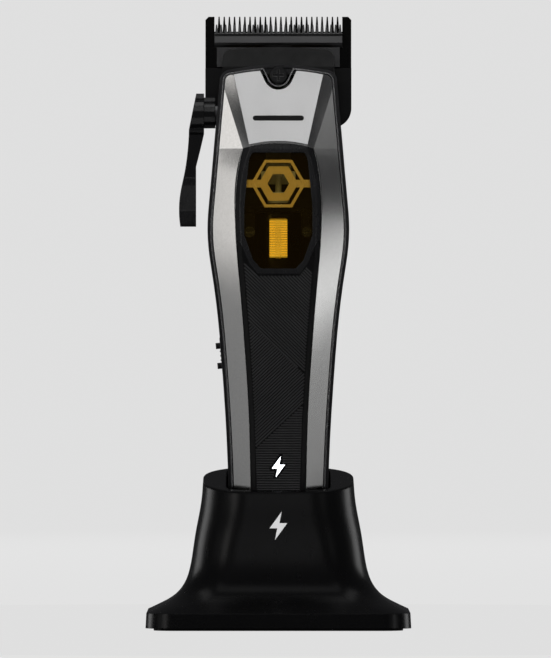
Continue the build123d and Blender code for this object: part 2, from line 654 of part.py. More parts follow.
with BuildPart() as screw_bosses:
    with BuildSketch(at_y(PARTING_Y + FIT)):
        with Locations(*HOUSING_SCREWS):
            Circle(BOSS_RADIUS)
    extrude(amount=-DEEP)
    add(rear_shape.part, mode=Mode.INTERSECT)

with BuildPart() as rear_housing:
    add(rear_shape.part)
    add(rear_hollow.part, mode=Mode.SUBTRACT)
    add(screw_bosses.part)
    with Locations(*[(x, 0, z) for x, z in HOUSING_SCREWS]):
        Cylinder(SCREW_SHANK + FIT, DEEP, rotation=(90, 0, 0), mode=Mode.SUBTRACT)
    with BuildSketch(at_y(SCREW_SEAT_Y)):
        with Locations(*HOUSING_SCREWS):
            Circle(SCREW_HEAD + 0.2)
    extrude(amount=-10, mode=Mode.SUBTRACT)
    # the switch's recess, and the slot that its stem moves in
    with BuildSketch(SWITCH_SIDE.offset(-SWITCH_RECESS)):
        with Locations((0, 2.0)):
            RectangleRounded(6.6, 26.4, 1.5)
    extrude(amount=8, mode=Mode.SUBTRACT)
    with BuildSketch(SWITCH_SIDE.offset(-6)):
        with Locations((0, SWITCH_TRAVEL / 2)):
            SlotOverall(SWITCH_STEM[0] + 0.4 + SWITCH_TRAVEL, SWITCH_STEM[1] + 0.4, rotation=90)
    extrude(amount=10, mode=Mode.SUBTRACT)
    # the seat of the charging contacts
    with Locations((0, PIN_Y, BODY_BOTTOM)):
        Box(CONTACT_PLATE[0] + 2 * FIT, CONTACT_PLATE[1] + 2 * FIT, 2 * (CONTACT_PLATE[2] + FIT),
            mode=Mode.SUBTRACT)
save(rear_housing, "rear_housing")

with BuildPart() as contact_plate:
    with Locations((0, PIN_Y, BODY_BOTTOM)):
        Box(*CONTACT_PLATE, align=(Align.CENTER, Align.CENTER, Align.MIN))
    with Locations((-PIN_SPACING / 2, PIN_Y, BODY_BOTTOM), (PIN_SPACING / 2, PIN_Y, BODY_BOTTOM)):
        Cylinder(CONTACT_RADIUS, 5, mode=Mode.SUBTRACT)
save(contact_plate, "contact_plate")

with BuildPart() as charge_contacts:
    with Locations((-PIN_SPACING / 2, PIN_Y, CONTACT_Z), (PIN_SPACING / 2, PIN_Y, CONTACT_Z)):
        Cylinder(CONTACT_RADIUS, BODY_BOTTOM + CONTACT_PLATE[2] - CONTACT_Z,
                 align=(Align.CENTER, Align.CENTER, Align.MIN))
save(charge_contacts, "charge_contacts")

with BuildPart() as housing_screws:
    for x, z in HOUSING_SCREWS:
        with Locations((x, SCREW_SEAT_Y + 0.6, z)):
            Cylinder(SCREW_HEAD, 1.2, rotation=(90, 0, 0))
        with Locations((x, (SCREW_SEAT_Y + SCREW_END_Y) / 2, z)):
            Cylinder(SCREW_SHANK, SCREW_SEAT_Y - SCREW_END_Y, rotation=(90, 0, 0))
        with Locations((x, SCREW_SEAT_Y + 1.2, z)):
            Box(2.6, 0.8, 0.6, mode=Mode.SUBTRACT)
            Box(0.6, 0.8, 2.6, mode=Mode.SUBTRACT)
save(housing_screws, "housing_screws")

# ------------------------------------------------------------------ clipper: front face
with BuildPart() as trim_ring:
    with BuildSketch(Plane.XZ):
        draw_housing(TRIM_INSET)
    extrude(amount=DEEP, both=True)
    with BuildSketch(Plane.XZ):
        draw_housing(TRIM_INSET + TRIM_WIDTH)
    extrude(amount=DEEP, both=True, mode=Mode.SUBTRACT)
    with BuildSketch(Plane.XZ):
        draw_notch(NOTCH_TRIM + TRIM_WIDTH)
        draw_within_housing(TRIM_INSET)
    extrude(amount=DEEP, both=True)
    with BuildSketch(Plane.XZ):
        draw_notch(NOTCH_TRIM)
    extrude(amount=DEEP, both=True, mode=Mode.SUBTRACT)
    with BuildSketch(Plane.YZ):
        draw_frame_side(-0.25)
    extrude(amount=DEEP, both=True, mode=Mode.INTERSECT)
    with BuildSketch(Plane.YZ):
        draw_frame_side(LEDGE_SHIFT - FIT)
    extrude(amount=DEEP, both=True, mode=Mode.SUBTRACT)
save(trim_ring, "trim_ring")

cover_band = face_band(0, COVER_THICK)
plate_recess = face_band(-1, 1 + PLATE_THICK + FIT)
with BuildPart() as plate_pocket:
    with BuildSketch(Plane.XZ):
        draw_name_plate()
    extrude(amount=DEEP)
    add(plate_recess, mode=Mode.INTERSECT)

with BuildPart() as front_cover:
    with BuildSketch(Plane.XZ):
        draw_housing(COVER_INSET)
    extrude(amount=DEEP)
    add(cover_band, mode=Mode.INTERSECT)
    with BuildSketch(Plane.XZ):
        draw_panel()
        draw_notch(NOTCH)
    extrude(amount=DEEP, mode=Mode.SUBTRACT)
    add(plate_pocket.part, mode=Mode.SUBTRACT)
save(front_cover, "front_cover")

plate_band = face_band(0, PLATE_THICK)
with BuildPart() as name_plate:
    with BuildSketch(Plane.XZ):
        draw_housing(COVER_INSET)
    extrude(amount=DEEP)
    with BuildSketch(Plane.XZ):
        draw_name_plate(FIT)
    extrude(amount=DEEP, mode=Mode.INTERSECT)
    add(plate_band, mode=Mode.INTERSECT)
    with BuildSketch(Plane.XZ):
        draw_notch(NOTCH)
        draw_plate_bar()
    extrude(amount=DEEP, mode=Mode.SUBTRACT)
save(name_plate, "name_plate")

with BuildPart() as plate_bar:
    with BuildSketch(Plane.XZ):
        draw_plate_bar()
    extrude(amount=DEEP)
    add(plate_band, mode=Mode.INTERSECT)
save(plate_bar, "plate_bar")

with BuildPart() as cover_screw:
    with Locations((0, (COVER_SCREW_FRONT + COVER_SCREW_SEAT) / 2, SCREW_Z)):
        Cylinder(COVER_SCREW_HEAD, COVER_SCREW_SEAT - COVER_SCREW_FRONT, rotation=(90, 0, 0))
    fillet(cover_screw.edges().group_by(Axis.Y)[0], radius=0.4)
    with Locations((0, COVER_SCREW_SEAT + 3, SCREW_Z)):
        Cylinder(COVER_SCREW_SHANK, 6.2, rotation=(90, 0, 0))
    with Locations((0, COVER_SCREW_FRONT, SCREW_Z)):
        Box(3.4, 1.6, 0.8, mode=Mode.SUBTRACT)
        Box(0.8, 1.6, 3.4, mode=Mode.SUBTRACT)
save(cover_screw, "cover_screw")

bezel_band = face_band(PANEL_DEPTH, 2.0)
with BuildPart() as window_bezel:
    with BuildSketch(Plane.XZ):
        draw_panel(FIT)
    extrude(amount=DEEP)
    with BuildSketch(Plane.XZ):
        draw_bezel_end()
    extrude(amount=DEEP, mode=Mode.INTERSECT)
    add(bezel_band, mode=Mode.INTERSECT)
    with BuildSketch(Plane.XZ):
        draw_window()
    extrude(amount=DEEP, mode=Mode.SUBTRACT)
save(window_bezel, "window_bezel")

lens_band = face_band(0.5, 1.0)
with BuildPart() as window_lens:
    with BuildSketch(Plane.XZ):
        draw_window(FIT)
    extrude(amount=DEEP)
    add(lens_band, mode=Mode.INTERSECT)
save(window_lens, "window_lens")

grip_band = face_band(PANEL_DEPTH, 1.5)
with BuildPart() as grip_panel:
    with BuildSketch(Plane.XZ):
        draw_panel(FIT)
    extrude(amount=DEEP)
    with BuildSketch(Plane.XZ):
        draw_housing(COVER_INSET)
    extrude(amount=DEEP, mode=Mode.INTERSECT)
    add(grip_band, mode=Mode.INTERSECT)
    with BuildSketch(Plane.XZ):
        draw_bezel_end(2 * FIT)
        draw_bolt_symbol(SIGN_HEIGHT, SIGN_Z)
    extrude(amount=DEEP, mode=Mode.SUBTRACT)
save(grip_panel, "grip_panel")

with BuildPart() as indicator_lens:
    with BuildSketch(Plane.XZ):
        draw_bolt_symbol(SIGN_HEIGHT, SIGN_Z)
    extrude(amount=DEEP)
    add(grip_band, mode=Mode.INTERSECT)
save(indicator_lens, "indicator_lens")

# ------------------------------------------------------------------ clipper: head


with BuildPart() as nose_hollow:
    with BuildSketch(Plane.XZ):
        draw_cowl(COWL_WALL, HEAD_START - 5)
    extrude(amount=DEEP, both=True)
    with BuildSketch(Plane.YZ):
        with BuildLine():
            Polyline((-DEEP, HEAD_START - 5), (-DEEP, 172.6), (COWL_FRONT - 1, 172.6), (0.8, 180.7),
                     (COWL_BACK + 5, 180.7), (COWL_BACK + 5, HEAD_START - 5), close=True)
        make_face()
    extrude(amount=DEEP, both=True, mode=Mode.INTERSECT)

with BuildPart() as nose_cowl:
    with BuildSketch(Plane.XZ):
        draw_cowl(0, HEAD_START + FIT)
    extrude(amount=DEEP, both=True)
    with BuildSketch(Plane.YZ):
        with BuildLine():
            FilletPolyline((COWL_FRONT, HEAD_START), (COWL_FRONT, 176.2), (1.6, 182.9), (COWL_BACK, 182.9),
                           (COWL_BACK, HEAD_START), radius=0.8)
            Line((COWL_BACK, HEAD_START), (COWL_FRONT, HEAD_START))
        make_face()
    extrude(amount=DEEP, both=True, mode=Mode.INTERSECT)
    add(nose_hollow.part, mode=Mode.SUBTRACT)
    with Locations((-DEEP / 2, LEVER_Y, LEVER_Z)):
        Cylinder(SHAFT_RADIUS + FIT, DEEP, rotation=(0, 90, 0), mode=Mode.SUBTRACT)
save(nose_cowl, "nose_cowl")

with BuildPart() as blade_carrier:
    with BuildSketch(at_y(CARRIER_FRONT)):
        with Locations((0, (CARRIER_BOTTOM + CARRIER_TOP) / 2)):
            Rectangle(BLADE_WIDTH, CARRIER_TOP - CARRIER_BOTTOM)
    extrude(amount=-(CARRIER_BACK - CARRIER_FRONT))
    fillet(blade_carrier.edges().filter_by(Axis.Y).group_by(Axis.Z)[0], radius=HEEL_CORNER)
    # the lug that the lever's cam moves
    with BuildSketch(at_x(LUG_X[0])):
        with Locations(((LUG_FRONT + CARRIER_FRONT + 1) / 2, LEVER_Z)):
            RectangleRounded(CARRIER_FRONT + 1 - LUG_FRONT, 5.4, 0.9)
        with Locations((LEVER_Y - CAM_THROW + 0.4, LEVER_Z)):
            SlotOverall(3.6, 2 * CAM_PIN + 0.4, mode=Mode.SUBTRACT)
    extrude(amount=LUG_X[1] - LUG_X[0])
    with Locations(*[(x, CARRIER_BACK, z) for x, z in BLADE_SCREWS]):
        Cylinder(BLADE_SCREW_RADIUS + FIT, 12, rotation=(90, 0, 0), mode=Mode.SUBTRACT)
save(blade_carrier, "blade_carrier")

with BuildPart() as comb_blade:
    with BuildSketch(at_y(COMB_FRONT)):
        with Locations((0, (COMB_BOTTOM + COMB_ROOT) / 2)):
            Rectangle(BLADE_WIDTH, COMB_ROOT - COMB_BOTTOM)
        for side in (-1, 1):
            outer = side * BLADE_WIDTH / 2
            inner = side * (BLADE_WIDTH / 2 - END_TOOTH)
            with BuildLine():
                Polyline((inner, COMB_ROOT - 1), (inner, BLADE_TIP), (outer - side * 1.0, BLADE_TIP),
                         (outer, BLADE_TIP - 1.0), (outer, COMB_ROOT - 1), close=True)
            make_face()
        for index in range(COMB_TEETH):
            x = (index - (COMB_TEETH - 1) / 2) * COMB_PITCH
            with BuildLine():
                Polyline((x - 0.55, COMB_ROOT - 0.5), (x - 0.2, BLADE_TIP), (x + 0.2, BLADE_TIP),
                         (x + 0.55, COMB_ROOT - 0.5), close=True)
            make_face()
    extrude(amount=-(COMB_BACK - COMB_FRONT))
    fillet(comb_blade.edges().filter_by(Axis.Y).group_by(Axis.Z)[0], radius=HEEL_CORNER)
    # the back is ground thinner towards the tips
    with BuildSketch(Plane.YZ):
        with BuildLine():
            Polyline((COMB_BACK, COMB_ROOT - 4), (COMB_BACK - 1.5, BLADE_TIP + 1),
                     (COMB_BACK + 3, BLADE_TIP + 1), (COMB_BACK + 3, COMB_ROOT - 4), close=True)
        make_face()
    extrude(amount=DEEP, both=True, mode=Mode.SUBTRACT)
    with Locations(*[(x, COMB_BACK, z) for x, z in BLADE_SCREWS]):
        Cylinder(BLADE_SCREW_RADIUS + FIT, 12, rotation=(90, 0, 0), mode=Mode.SUBTRACT)
save(comb_blade, "comb_blade")

with BuildPart() as blade_screws:
    for x, z in BLADE_SCREWS:
        with Locations((x, COMB_BACK + 0.8, z)):
            Cylinder(2.8, 1.6, rotation=(90, 0, 0))
        with Locations((x, (COMB_BACK + CARRIER_FRONT) / 2 + 0.5, z)):
            Cylinder(BLADE_SCREW_RADIUS, COMB_BACK - CARRIER_FRONT - 1, rotation=(90, 0, 0))
        with Locations((x, COMB_BACK + 1.6, z)):
            Box(3.6, 1.4, 0.8, mode=Mode.SUBTRACT)
            Box(0.8, 1.4, 3.6, mode=Mode.SUBTRACT)
save(blade_screws, "blade_screws")

with BuildPart() as cutter_blade:
    with BuildSketch(at_y(CUTTER_FRONT)):
        with Locations((0, (CUTTER_ROOT + CUTTER_BOTTOM) / 2)):
            Rectangle(CUTTER_WIDTH, CUTTER_ROOT - CUTTER_BOTTOM)
        with Locations((0, (CUTTER_BOTTOM + BAR_BOTTOM) / 2)):
            for side in (-1, 1):
                with Locations((side * (CUTTER_WIDTH / 2), 0)):
                    Rectangle(1.6, BAR_BOTTOM - CUTTER_BOTTOM, mode=Mode.SUBTRACT)
        for index in range(CUTTER_TEETH):
            x = (index - (CUTTER_TEETH - 1) / 2) * CUTTER_PITCH
            with BuildLine():
                Polyline((x - 0.5, CUTTER_ROOT - 0.5), (x - 0.2, CUTTER_TIP), (x + 0.2, CUTTER_TIP),
                         (x + 0.5, CUTTER_ROOT - 0.5), close=True)
            make_face()
    extrude(amount=-(CUTTER_BACK - CUTTER_FRONT))
    # seen from the side: thin teeth, a groove, the bevelled bar, the thinner tail
    with BuildSketch(Plane.YZ):
        with BuildLine():
            Polyline((CUTTER_BACK, CUTTER_BOTTOM), (CUTTER_BACK, CUTTER_TIP), (CUTTER_BACK - 0.6, CUTTER_TIP),
                     (CUTTER_BACK - 0.9, CUTTER_ROOT), (8.3, 187.1), (8.6, 186.6), (8.0, 186.3),
                     (CUTTER_FRONT, 184.3), (CUTTER_FRONT + 0.2, 183.5), (TAIL_FRONT, BAR_BOTTOM),
                     (TAIL_FRONT, CUTTER_BOTTOM), close=True)
        make_face()
    extrude(amount=DEEP, both=True, mode=Mode.INTERSECT)
save(cutter_blade, "cutter_blade")

# ------------------------------------------------------------------ clipper: drive
with BuildPart() as cutter_yoke:
    with Locations((0, (-10.4 + YOKE_ARM_Y[1]) / 2, sum(YOKE_Z) / 2)):
        Box(10.8, YOKE_ARM_Y[1] + 10.4, YOKE_Z[1] - YOKE_Z[0])
    with Locations((0, -7.5, sum(YOKE_Z) / 2)):
        Box(2 * PIN_ROOM, 8.0, DEEP, mode=Mode.SUBTRACT)
    with Locations((0, sum(YOKE_ARM_Y) / 2, (YOKE_Z[0] + BRIDGE_Z[1]) / 2)):
        Box(8, YOKE_ARM_Y[1] - YOKE_ARM_Y[0], BRIDGE_Z[1] - YOKE_Z[0])
    with Locations((0, (YOKE_ARM_Y[0] + TAIL_FRONT) / 2, sum(BRIDGE_Z) / 2)):
        Box(8, TAIL_FRONT - YOKE_ARM_Y[0], BRIDGE_Z[1] - BRIDGE_Z[0])
    fillet(cutter_yoke.edges().filter_by(Axis.Y), radius=0.6)
save(cutter_yoke, "cutter_yoke")

with BuildPart() as tension_spring:
    with BuildLine() as spring_path:
        FilletPolyline((-9.0, 3.65, 151.5), (-6.5, 3.65, 174.4), (6.5, 3.65, 174.4), (9.0, 3.65, 151.5),
                       radius=2.0)
    with BuildSketch(Plane(origin=spring_path.line @ 0, z_dir=spring_path.line % 0)):
        Circle(0.35)
    sweep(path=spring_path.line)
save(tension_spring, "tension_spring")

with BuildPart() as motor_can:
    with Locations((0, MOTOR_Y, MOTOR_BOTTOM)):
        Cylinder(MOTOR_RADIUS, MOTOR_TOP - MOTOR_BOTTOM, align=(Align.CENTER, Align.CENTER, Align.MIN))
    fillet(motor_can.edges().filter_by(GeomType.CIRCLE), radius=0.5)
    with Locations((0, MOTOR_Y, MOTOR_BOTTOM + CAN_END)):
        Cylinder(CAN_BORE, MOTOR_TOP - MOTOR_BOTTOM - 2 * CAN_END,
                 align=(Align.CENTER, Align.CENTER, Align.MIN), mode=Mode.SUBTRACT)
    with Locations((0, MOTOR_Y, MOTOR_BOTTOM)):
        Cylinder(BEARING_RADIUS, DEEP * 2, mode=Mode.SUBTRACT)
    # the slot in front that shows the winding
    with BuildSketch(at_y(MOTOR_Y)):
        with Locations((0, (WINDING_Z[0] + WINDING_Z[1]) / 2)):
            RectangleRounded(5.6, WINDING_Z[1] - WINDING_Z[0] + 1.4, 0.6)
    extrude(amount=MOTOR_RADIUS + 1, mode=Mode.SUBTRACT)
save(motor_can, "motor_can")

with BuildPart() as motor_winding:
    pitch = (WINDING_Z[1] - WINDING_Z[0]) / (WINDING_TURNS - 1)
    for turn in range(WINDING_TURNS):
        with Locations((0, MOTOR_Y, WINDING_Z[0] + turn * pitch)):
            Torus(CAN_BORE - 0.4, 0.33)
save(motor_winding, "motor_winding")

with BuildPart() as motor_bearings:
    for bottom in (MOTOR_BOTTOM, MOTOR_TOP - CAN_END):
        with Locations((0, MOTOR_Y, bottom)):
            Cylinder(BEARING_RADIUS, CAN_END, align=(Align.CENTER, Align.CENTER, Align.MIN))
            Cylinder(SPINDLE_RADIUS + 0.03, CAN_END, align=(Align.CENTER, Align.CENTER, Align.MIN),
                     mode=Mode.SUBTRACT)
save(motor_bearings, "motor_bearings")

with BuildPart() as motor_shaft:
    with Locations((0, MOTOR_Y, MOTOR_BOTTOM - 0.4)):
        Cylinder(SPINDLE_RADIUS, ECCENTRIC_Z[1] - MOTOR_BOTTOM + 0.4,
                 align=(Align.CENTER, Align.CENTER, Align.MIN))
save(motor_shaft, "motor_shaft")

with BuildPart() as rotor_core:
    with BuildSketch(Plane.XY.offset(ROTOR_Z[0])):
        with Locations((0, MOTOR_Y)):
            Circle(ROTOR_RADIUS)
            Circle(SPINDLE_RADIUS, mode=Mode.SUBTRACT)
        with Locations((0, MOTOR_Y)):
            with PolarLocations(ROTOR_RADIUS - 0.4, ROTOR_SLOTS):
                Rectangle(2.0, 0.7, mode=Mode.SUBTRACT)
    extrude(amount=ROTOR_Z[1] - ROTOR_Z[0])
save(rotor_core, "rotor_core")

with BuildPart() as eccentric:
    with BuildSketch(Plane.XY.offset(ECCENTRIC_Z[0])):
        with Locations((0, MOTOR_Y)):
            Circle(ECCENTRIC_RADIUS)
            Circle(SPINDLE_RADIUS, mode=Mode.SUBTRACT)
        with Locations((0, MOTOR_Y + 2.2)):
            Circle(1.0, mode=Mode.SUBTRACT)
    extrude(amount=ECCENTRIC_Z[1] - ECCENTRIC_Z[0])
    with Locations((0, MOTOR_Y - CRANK_THROW, ECCENTRIC_Z[1])):
        Cylinder(CRANK_PIN, YOKE_Z[1] - ECCENTRIC_Z[1] + 0.3, align=(Align.CENTER, Align.CENTER, Align.MIN))
save(eccentric, "eccentric")

with BuildPart() as motor_bracket:
    with BuildSketch(Plane.XY.offset(BRACKET_Z)):
        with Locations((0, MOTOR_Y)):
            RectangleRounded(*BRACKET[:2], 2.0)
            Circle(ECCENTRIC_RADIUS + 0.6, mode=Mode.SUBTRACT)
    extrude(amount=BRACKET[2])
    with BuildSketch(at_y(BRACKET_FRONT)):
        ear_top = BRACKET_Z + BRACKET[2]
        for side in (-1, 1):
            with Locations((side * MOTOR_SCREW[0], (MOTOR_SCREW[1] + ear_top) / 2)):
                Rectangle(2 * BRACKET_EAR, ear_top - MOTOR_SCREW[1])
            with Locations((side * MOTOR_SCREW[0], MOTOR_SCREW[1])):
                Circle(BRACKET_EAR)
    extrude(amount=-1.2)
    with Locations(*[(side * MOTOR_SCREW[0], BRACKET_FRONT, MOTOR_SCREW[1]) for side in (-1, 1)]):
        Cylinder(MOTOR_SCREW_SHANK + FIT, 8, rotation=(90, 0, 0), mode=Mode.SUBTRACT)
save(motor_bracket, "motor_bracket")

with BuildPart() as motor_screws:
    for side in (-1, 1):
        with Locations((side * MOTOR_SCREW[0], BRACKET_FRONT - 0.6, MOTOR_SCREW[1])):
            Cylinder(MOTOR_SCREW_HEAD, 1.2, rotation=(90, 0, 0))
        with Locations((side * MOTOR_SCREW[0], BRACKET_FRONT + 1.0, MOTOR_SCREW[1])):
            Cylinder(MOTOR_SCREW_SHANK, 2.0, rotation=(90, 0, 0))
        with Locations((side * MOTOR_SCREW[0], BRACKET_FRONT - 1.2, MOTOR_SCREW[1])):
            Box(2.2, 0.8, 0.5, mode=Mode.SUBTRACT)
save(motor_screws, "motor_screws")

with BuildPart() as window_badge:
    # two hexagons, one in the other, joined by a bar behind them
    for outer, inner in BADGE_RINGS:
        with BuildSketch(at_y(BADGE_FRONT)):
            with Locations((0, BADGE_Z)):
                RegularPolygon(outer, 6)
                RegularPolygon(inner, 6, mode=Mode.SUBTRACT)
        extrude(amount=-BADGE_THICK)
    with BuildSketch(at_y(BADGE_FRONT + 0.2)):
        with Locations((0, BADGE_Z)):
            Rectangle(*BADGE_BAR)
            RegularPolygon(BADGE_RINGS[1][1], 6, mode=Mode.SUBTRACT)
    extrude(amount=0.2 - BADGE_THICK)
save(window_badge, "window_badge")

# ------------------------------------------------------------------ clipper: power
with BuildPart() as battery_cell:
    with Locations((0, CELL_Y, CELL_BOTTOM)):
        Cylinder(CELL_RADIUS, CELL_TOP - CELL_BOTTOM, align=(Align.CENTER, Align.CENTER, Align.MIN))
    fillet(battery_cell.edges().filter_by(GeomType.CIRCLE), radius=0.8)
save(battery_cell, "battery_cell")

with BuildPart() as battery_tray:
    with BuildSketch(Plane.XY.offset(CELL_BOTTOM - 0.9)):
        with Locations((0, CELL_Y)):
            Circle(TRAY_RADIUS)
            Circle(CELL_RADIUS + 0.1, mode=Mode.SUBTRACT)
        with Locations((0, CELL_Y - TRAY_RADIUS)):
            Rectangle(4 * TRAY_RADIUS, 2 * TRAY_RADIUS, mode=Mode.SUBTRACT)
    extrude(amount=CELL_TOP - CELL_BOTTOM + 1.8)
save(battery_tray, "battery_tray")

with BuildPart() as battery_contacts:
    for bottom in (CELL_BOTTOM - 0.8, CELL_TOP + 0.05):
        with BuildSketch(Plane.XY.offset(bottom)):
            with Locations((0, CELL_Y)):
                RectangleRounded(*CELL_CONTACT[:2], 1.5)
        extrude(amount=CELL_CONTACT[2])
save(battery_contacts, "battery_contacts")

with BuildPart() as main_circuit_board:
    with BuildSketch(at_y(BOARD_FRONT)):
        with Locations((0, BOARD_MIDDLE_Z)):
            RectangleRounded(*BOARD[:2], 1.5)
    extrude(amount=-BOARD[2])
    for x, z, width, height, rise in BOARD_PARTS:
        with BuildSketch(at_y(BOARD_FRONT)):
            with Locations((x, z)):
                Rectangle(width, height)
        extrude(amount=rise)
save(main_circuit_board, "main_circuit_board")

with BuildPart() as slide_switch:
    with Locations((-12.4, SWITCH_Y, SWITCH_Z + 2)):
        Box(3.2, 5.6, 13)
    fillet(slide_switch.edges().filter_by(Axis.Z), radius=0.4)
save(slide_switch, "slide_switch")

with BuildPart() as power_switch:
    with BuildSketch(SWITCH_SIDE.offset(-SWITCH_RECESS + FIT)):
        RectangleRounded(*SWITCH_KNOB, 1.2)
    extrude(amount=SWITCH_RECESS + 0.15)
    for step in (-3.15, 3.15):
        with BuildSketch(SWITCH_SIDE):
            with Locations((0, step)):
                RectangleRounded(SWITCH_KNOB[0] - 0.6, 1.9, 0.6)
        extrude(amount=1.55)
    for step in (-1.4, 0, 1.4):
        with BuildSketch(SWITCH_SIDE):
            with Locations((0, step)):
                Rectangle(SWITCH_KNOB[0] - 0.8, 0.5)
        extrude(amount=0.4)
    with BuildSketch(SWITCH_SIDE.offset(-3.3)):
        SlotOverall(*SWITCH_STEM, rotation=90)
    extrude(amount=3.0)
save(power_switch, "power_switch")

# ------------------------------------------------------------------ clipper: taper lever
with BuildPart() as taper_lever:
    # seen from the front: a hub that reaches the housing, and an arm that swells into the thumb pad
    with BuildSketch(at_y(0)):
        with BuildLine():
            Polyline((-23.4, 155.4), (-23.4, LEVER_TOP), (-25.8, LEVER_TOP), (-28.1, 156.6))
            Spline((-28.1, 156.6), (-28.5, 150.0), (-29.5, 143.0), (-30.9, 136.0), (-31.2, 131.0),
                   (-30.8, LEVER_BOTTOM))
            Line((-30.8, LEVER_BOTTOM), (-25.9, LEVER_BOTTOM))
            Line((-25.9, LEVER_BOTTOM), (-25.9, 145.0))
            Spline((-25.9, 145.0), (-24.9, 149.0), (-23.4, 155.4))
        make_face()
    extrude(amount=10, both=True)
    # seen from the side: finger steps on the hub, a thin arm, a thicker pad
    with BuildSketch(Plane.YZ):
        with BuildLine():
            Polyline(*LEVER_FRONT, *LEVER_BACK, close=True)
        make_face()
    extrude(amount=DEEP, both=True, mode=Mode.INTERSECT)
    # the neck between the hub and the housing keeps the same steps
    with BuildSketch(at_x(NECK_X)):
        neck_front = [(y * NECK_SIZE + LEVER_Y * (1 - NECK_SIZE), z * NECK_SIZE + LEVER_Z * (1 - NECK_SIZE))
                      for y, z in HUB_FRONT]
        with BuildLine():
            Polyline(*neck_front, *NECK_BACK, close=True)
        make_face()
    extrude(amount=HUB_X - NECK_X)
    with Locations((-25, LEVER_Y, LEVER_Z)):
        Cylinder(SHAFT_RADIUS + FIT / 2, 20, rotation=(0, 90, 0), mode=Mode.SUBTRACT)
    # the screw's seat
    with Locations((HUB_END, LEVER_Y, LEVER_Z)):
        Cylinder(LEVER_SCREW_HEAD + FIT, 4, rotation=(0, 90, 0), mode=Mode.SUBTRACT)
save(taper_lever, "taper_lever")

with BuildPart() as lever_shaft:
    with Locations(((SHAFT_END + CAM_X[0]) / 2, LEVER_Y, LEVER_Z)):
        Cylinder(SHAFT_RADIUS, CAM_X[0] - SHAFT_END, rotation=(0, 90, 0))
    with Locations((SHAFT_END + 2, LEVER_Y, LEVER_Z)):
        Cylinder(LEVER_SCREW_SHANK, 4, rotation=(0, 90, 0), mode=Mode.SUBTRACT)
save(lever_shaft, "lever_shaft")

with BuildPart() as lever_cam:
    with Locations((sum(CAM_X) / 2, LEVER_Y, LEVER_Z)):
        Cylinder(CAM_RADIUS, CAM_X[1] - CAM_X[0], rotation=(0, 90, 0))
    with Locations(((CAM_X[1] + LUG_X[1] + 0.3) / 2, LEVER_Y - CAM_THROW, LEVER_Z)):
        Cylinder(CAM_PIN, LUG_X[1] + 0.3 - CAM_X[1], rotation=(0, 90, 0))
save(lever_cam, "lever_cam")

with BuildPart() as lever_screw:
    with Locations((SHAFT_END - 0.5, LEVER_Y, LEVER_Z)):
        Cylinder(LEVER_SCREW_HEAD, 1.0, rotation=(0, 90, 0))
    fillet(lever_screw.edges().group_by(Axis.X)[0], radius=0.4)
    with Locations((SHAFT_END + 1.9, LEVER_Y, LEVER_Z)):
        Cylinder(LEVER_SCREW_SHANK, 3.8, rotation=(0, 90, 0))
    with Locations((SHAFT_END - 1.0, LEVER_Y, LEVER_Z)):
        Box(1.0, 4.0, 0.8, mode=Mode.SUBTRACT)
save(lever_screw, "lever_screw")

with BuildPart() as detent_spring:
    with Locations((sum(CAM_X) / 2, LEVER_Y, LEVER_Z - CAM_RADIUS - 0.5)):
        Box(1.4, 8.0, 0.4)
    with Locations((sum(CAM_X) / 2, LEVER_Y + 3.8, LEVER_Z - 5.6)):
        Box(1.4, 0.4, 4.0)
save(detent_spring, "detent_spring")
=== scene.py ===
"""Looks of the hair clipper in its charging stand: camera, materials, the grip's ribs and the studio.

Everything is in metres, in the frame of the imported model: +Z up, the front faces -Y.
"""

import json
import math

import bmesh
import bpy
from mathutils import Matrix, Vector
from mathutils.bvhtree import BVHTree


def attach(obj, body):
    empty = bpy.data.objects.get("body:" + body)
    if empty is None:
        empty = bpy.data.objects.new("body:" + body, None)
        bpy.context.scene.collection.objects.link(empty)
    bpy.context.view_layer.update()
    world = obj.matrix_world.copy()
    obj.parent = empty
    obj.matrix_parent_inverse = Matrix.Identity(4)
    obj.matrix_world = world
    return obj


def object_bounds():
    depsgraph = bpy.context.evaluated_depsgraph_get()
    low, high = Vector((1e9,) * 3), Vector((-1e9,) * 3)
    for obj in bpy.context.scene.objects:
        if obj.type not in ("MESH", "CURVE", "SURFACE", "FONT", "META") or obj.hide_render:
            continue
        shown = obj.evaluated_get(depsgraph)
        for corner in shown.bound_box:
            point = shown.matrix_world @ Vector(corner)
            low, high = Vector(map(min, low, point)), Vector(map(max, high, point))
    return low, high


MM = 0.001

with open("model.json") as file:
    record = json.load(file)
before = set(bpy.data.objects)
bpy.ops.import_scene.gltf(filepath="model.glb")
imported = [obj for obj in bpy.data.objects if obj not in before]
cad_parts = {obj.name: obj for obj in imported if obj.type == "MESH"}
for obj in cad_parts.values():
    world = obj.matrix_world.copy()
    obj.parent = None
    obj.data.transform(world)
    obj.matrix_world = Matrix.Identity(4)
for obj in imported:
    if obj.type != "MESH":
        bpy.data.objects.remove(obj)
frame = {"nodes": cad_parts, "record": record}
nodes = frame["nodes"]
cad_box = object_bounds()
front = cad_box[0].y

# ------------------------------------------------------------------ camera
LENS = 600.0                  # long lens, nearly without perspective
SENSOR = 36.0                 # the sensor's long side, upright
VIEW_HEIGHT = 207.0 * MM      # what the picture's height covers at the blades
VIEW_MIDDLE = Vector((-0.90 * MM, 0.0, 94.0 * MM))
CAMERA_DISTANCE = LENS / SENSOR * VIEW_HEIGHT
FARTHEST_SEEN = 50.0          # the camera draws nothing beyond this distance

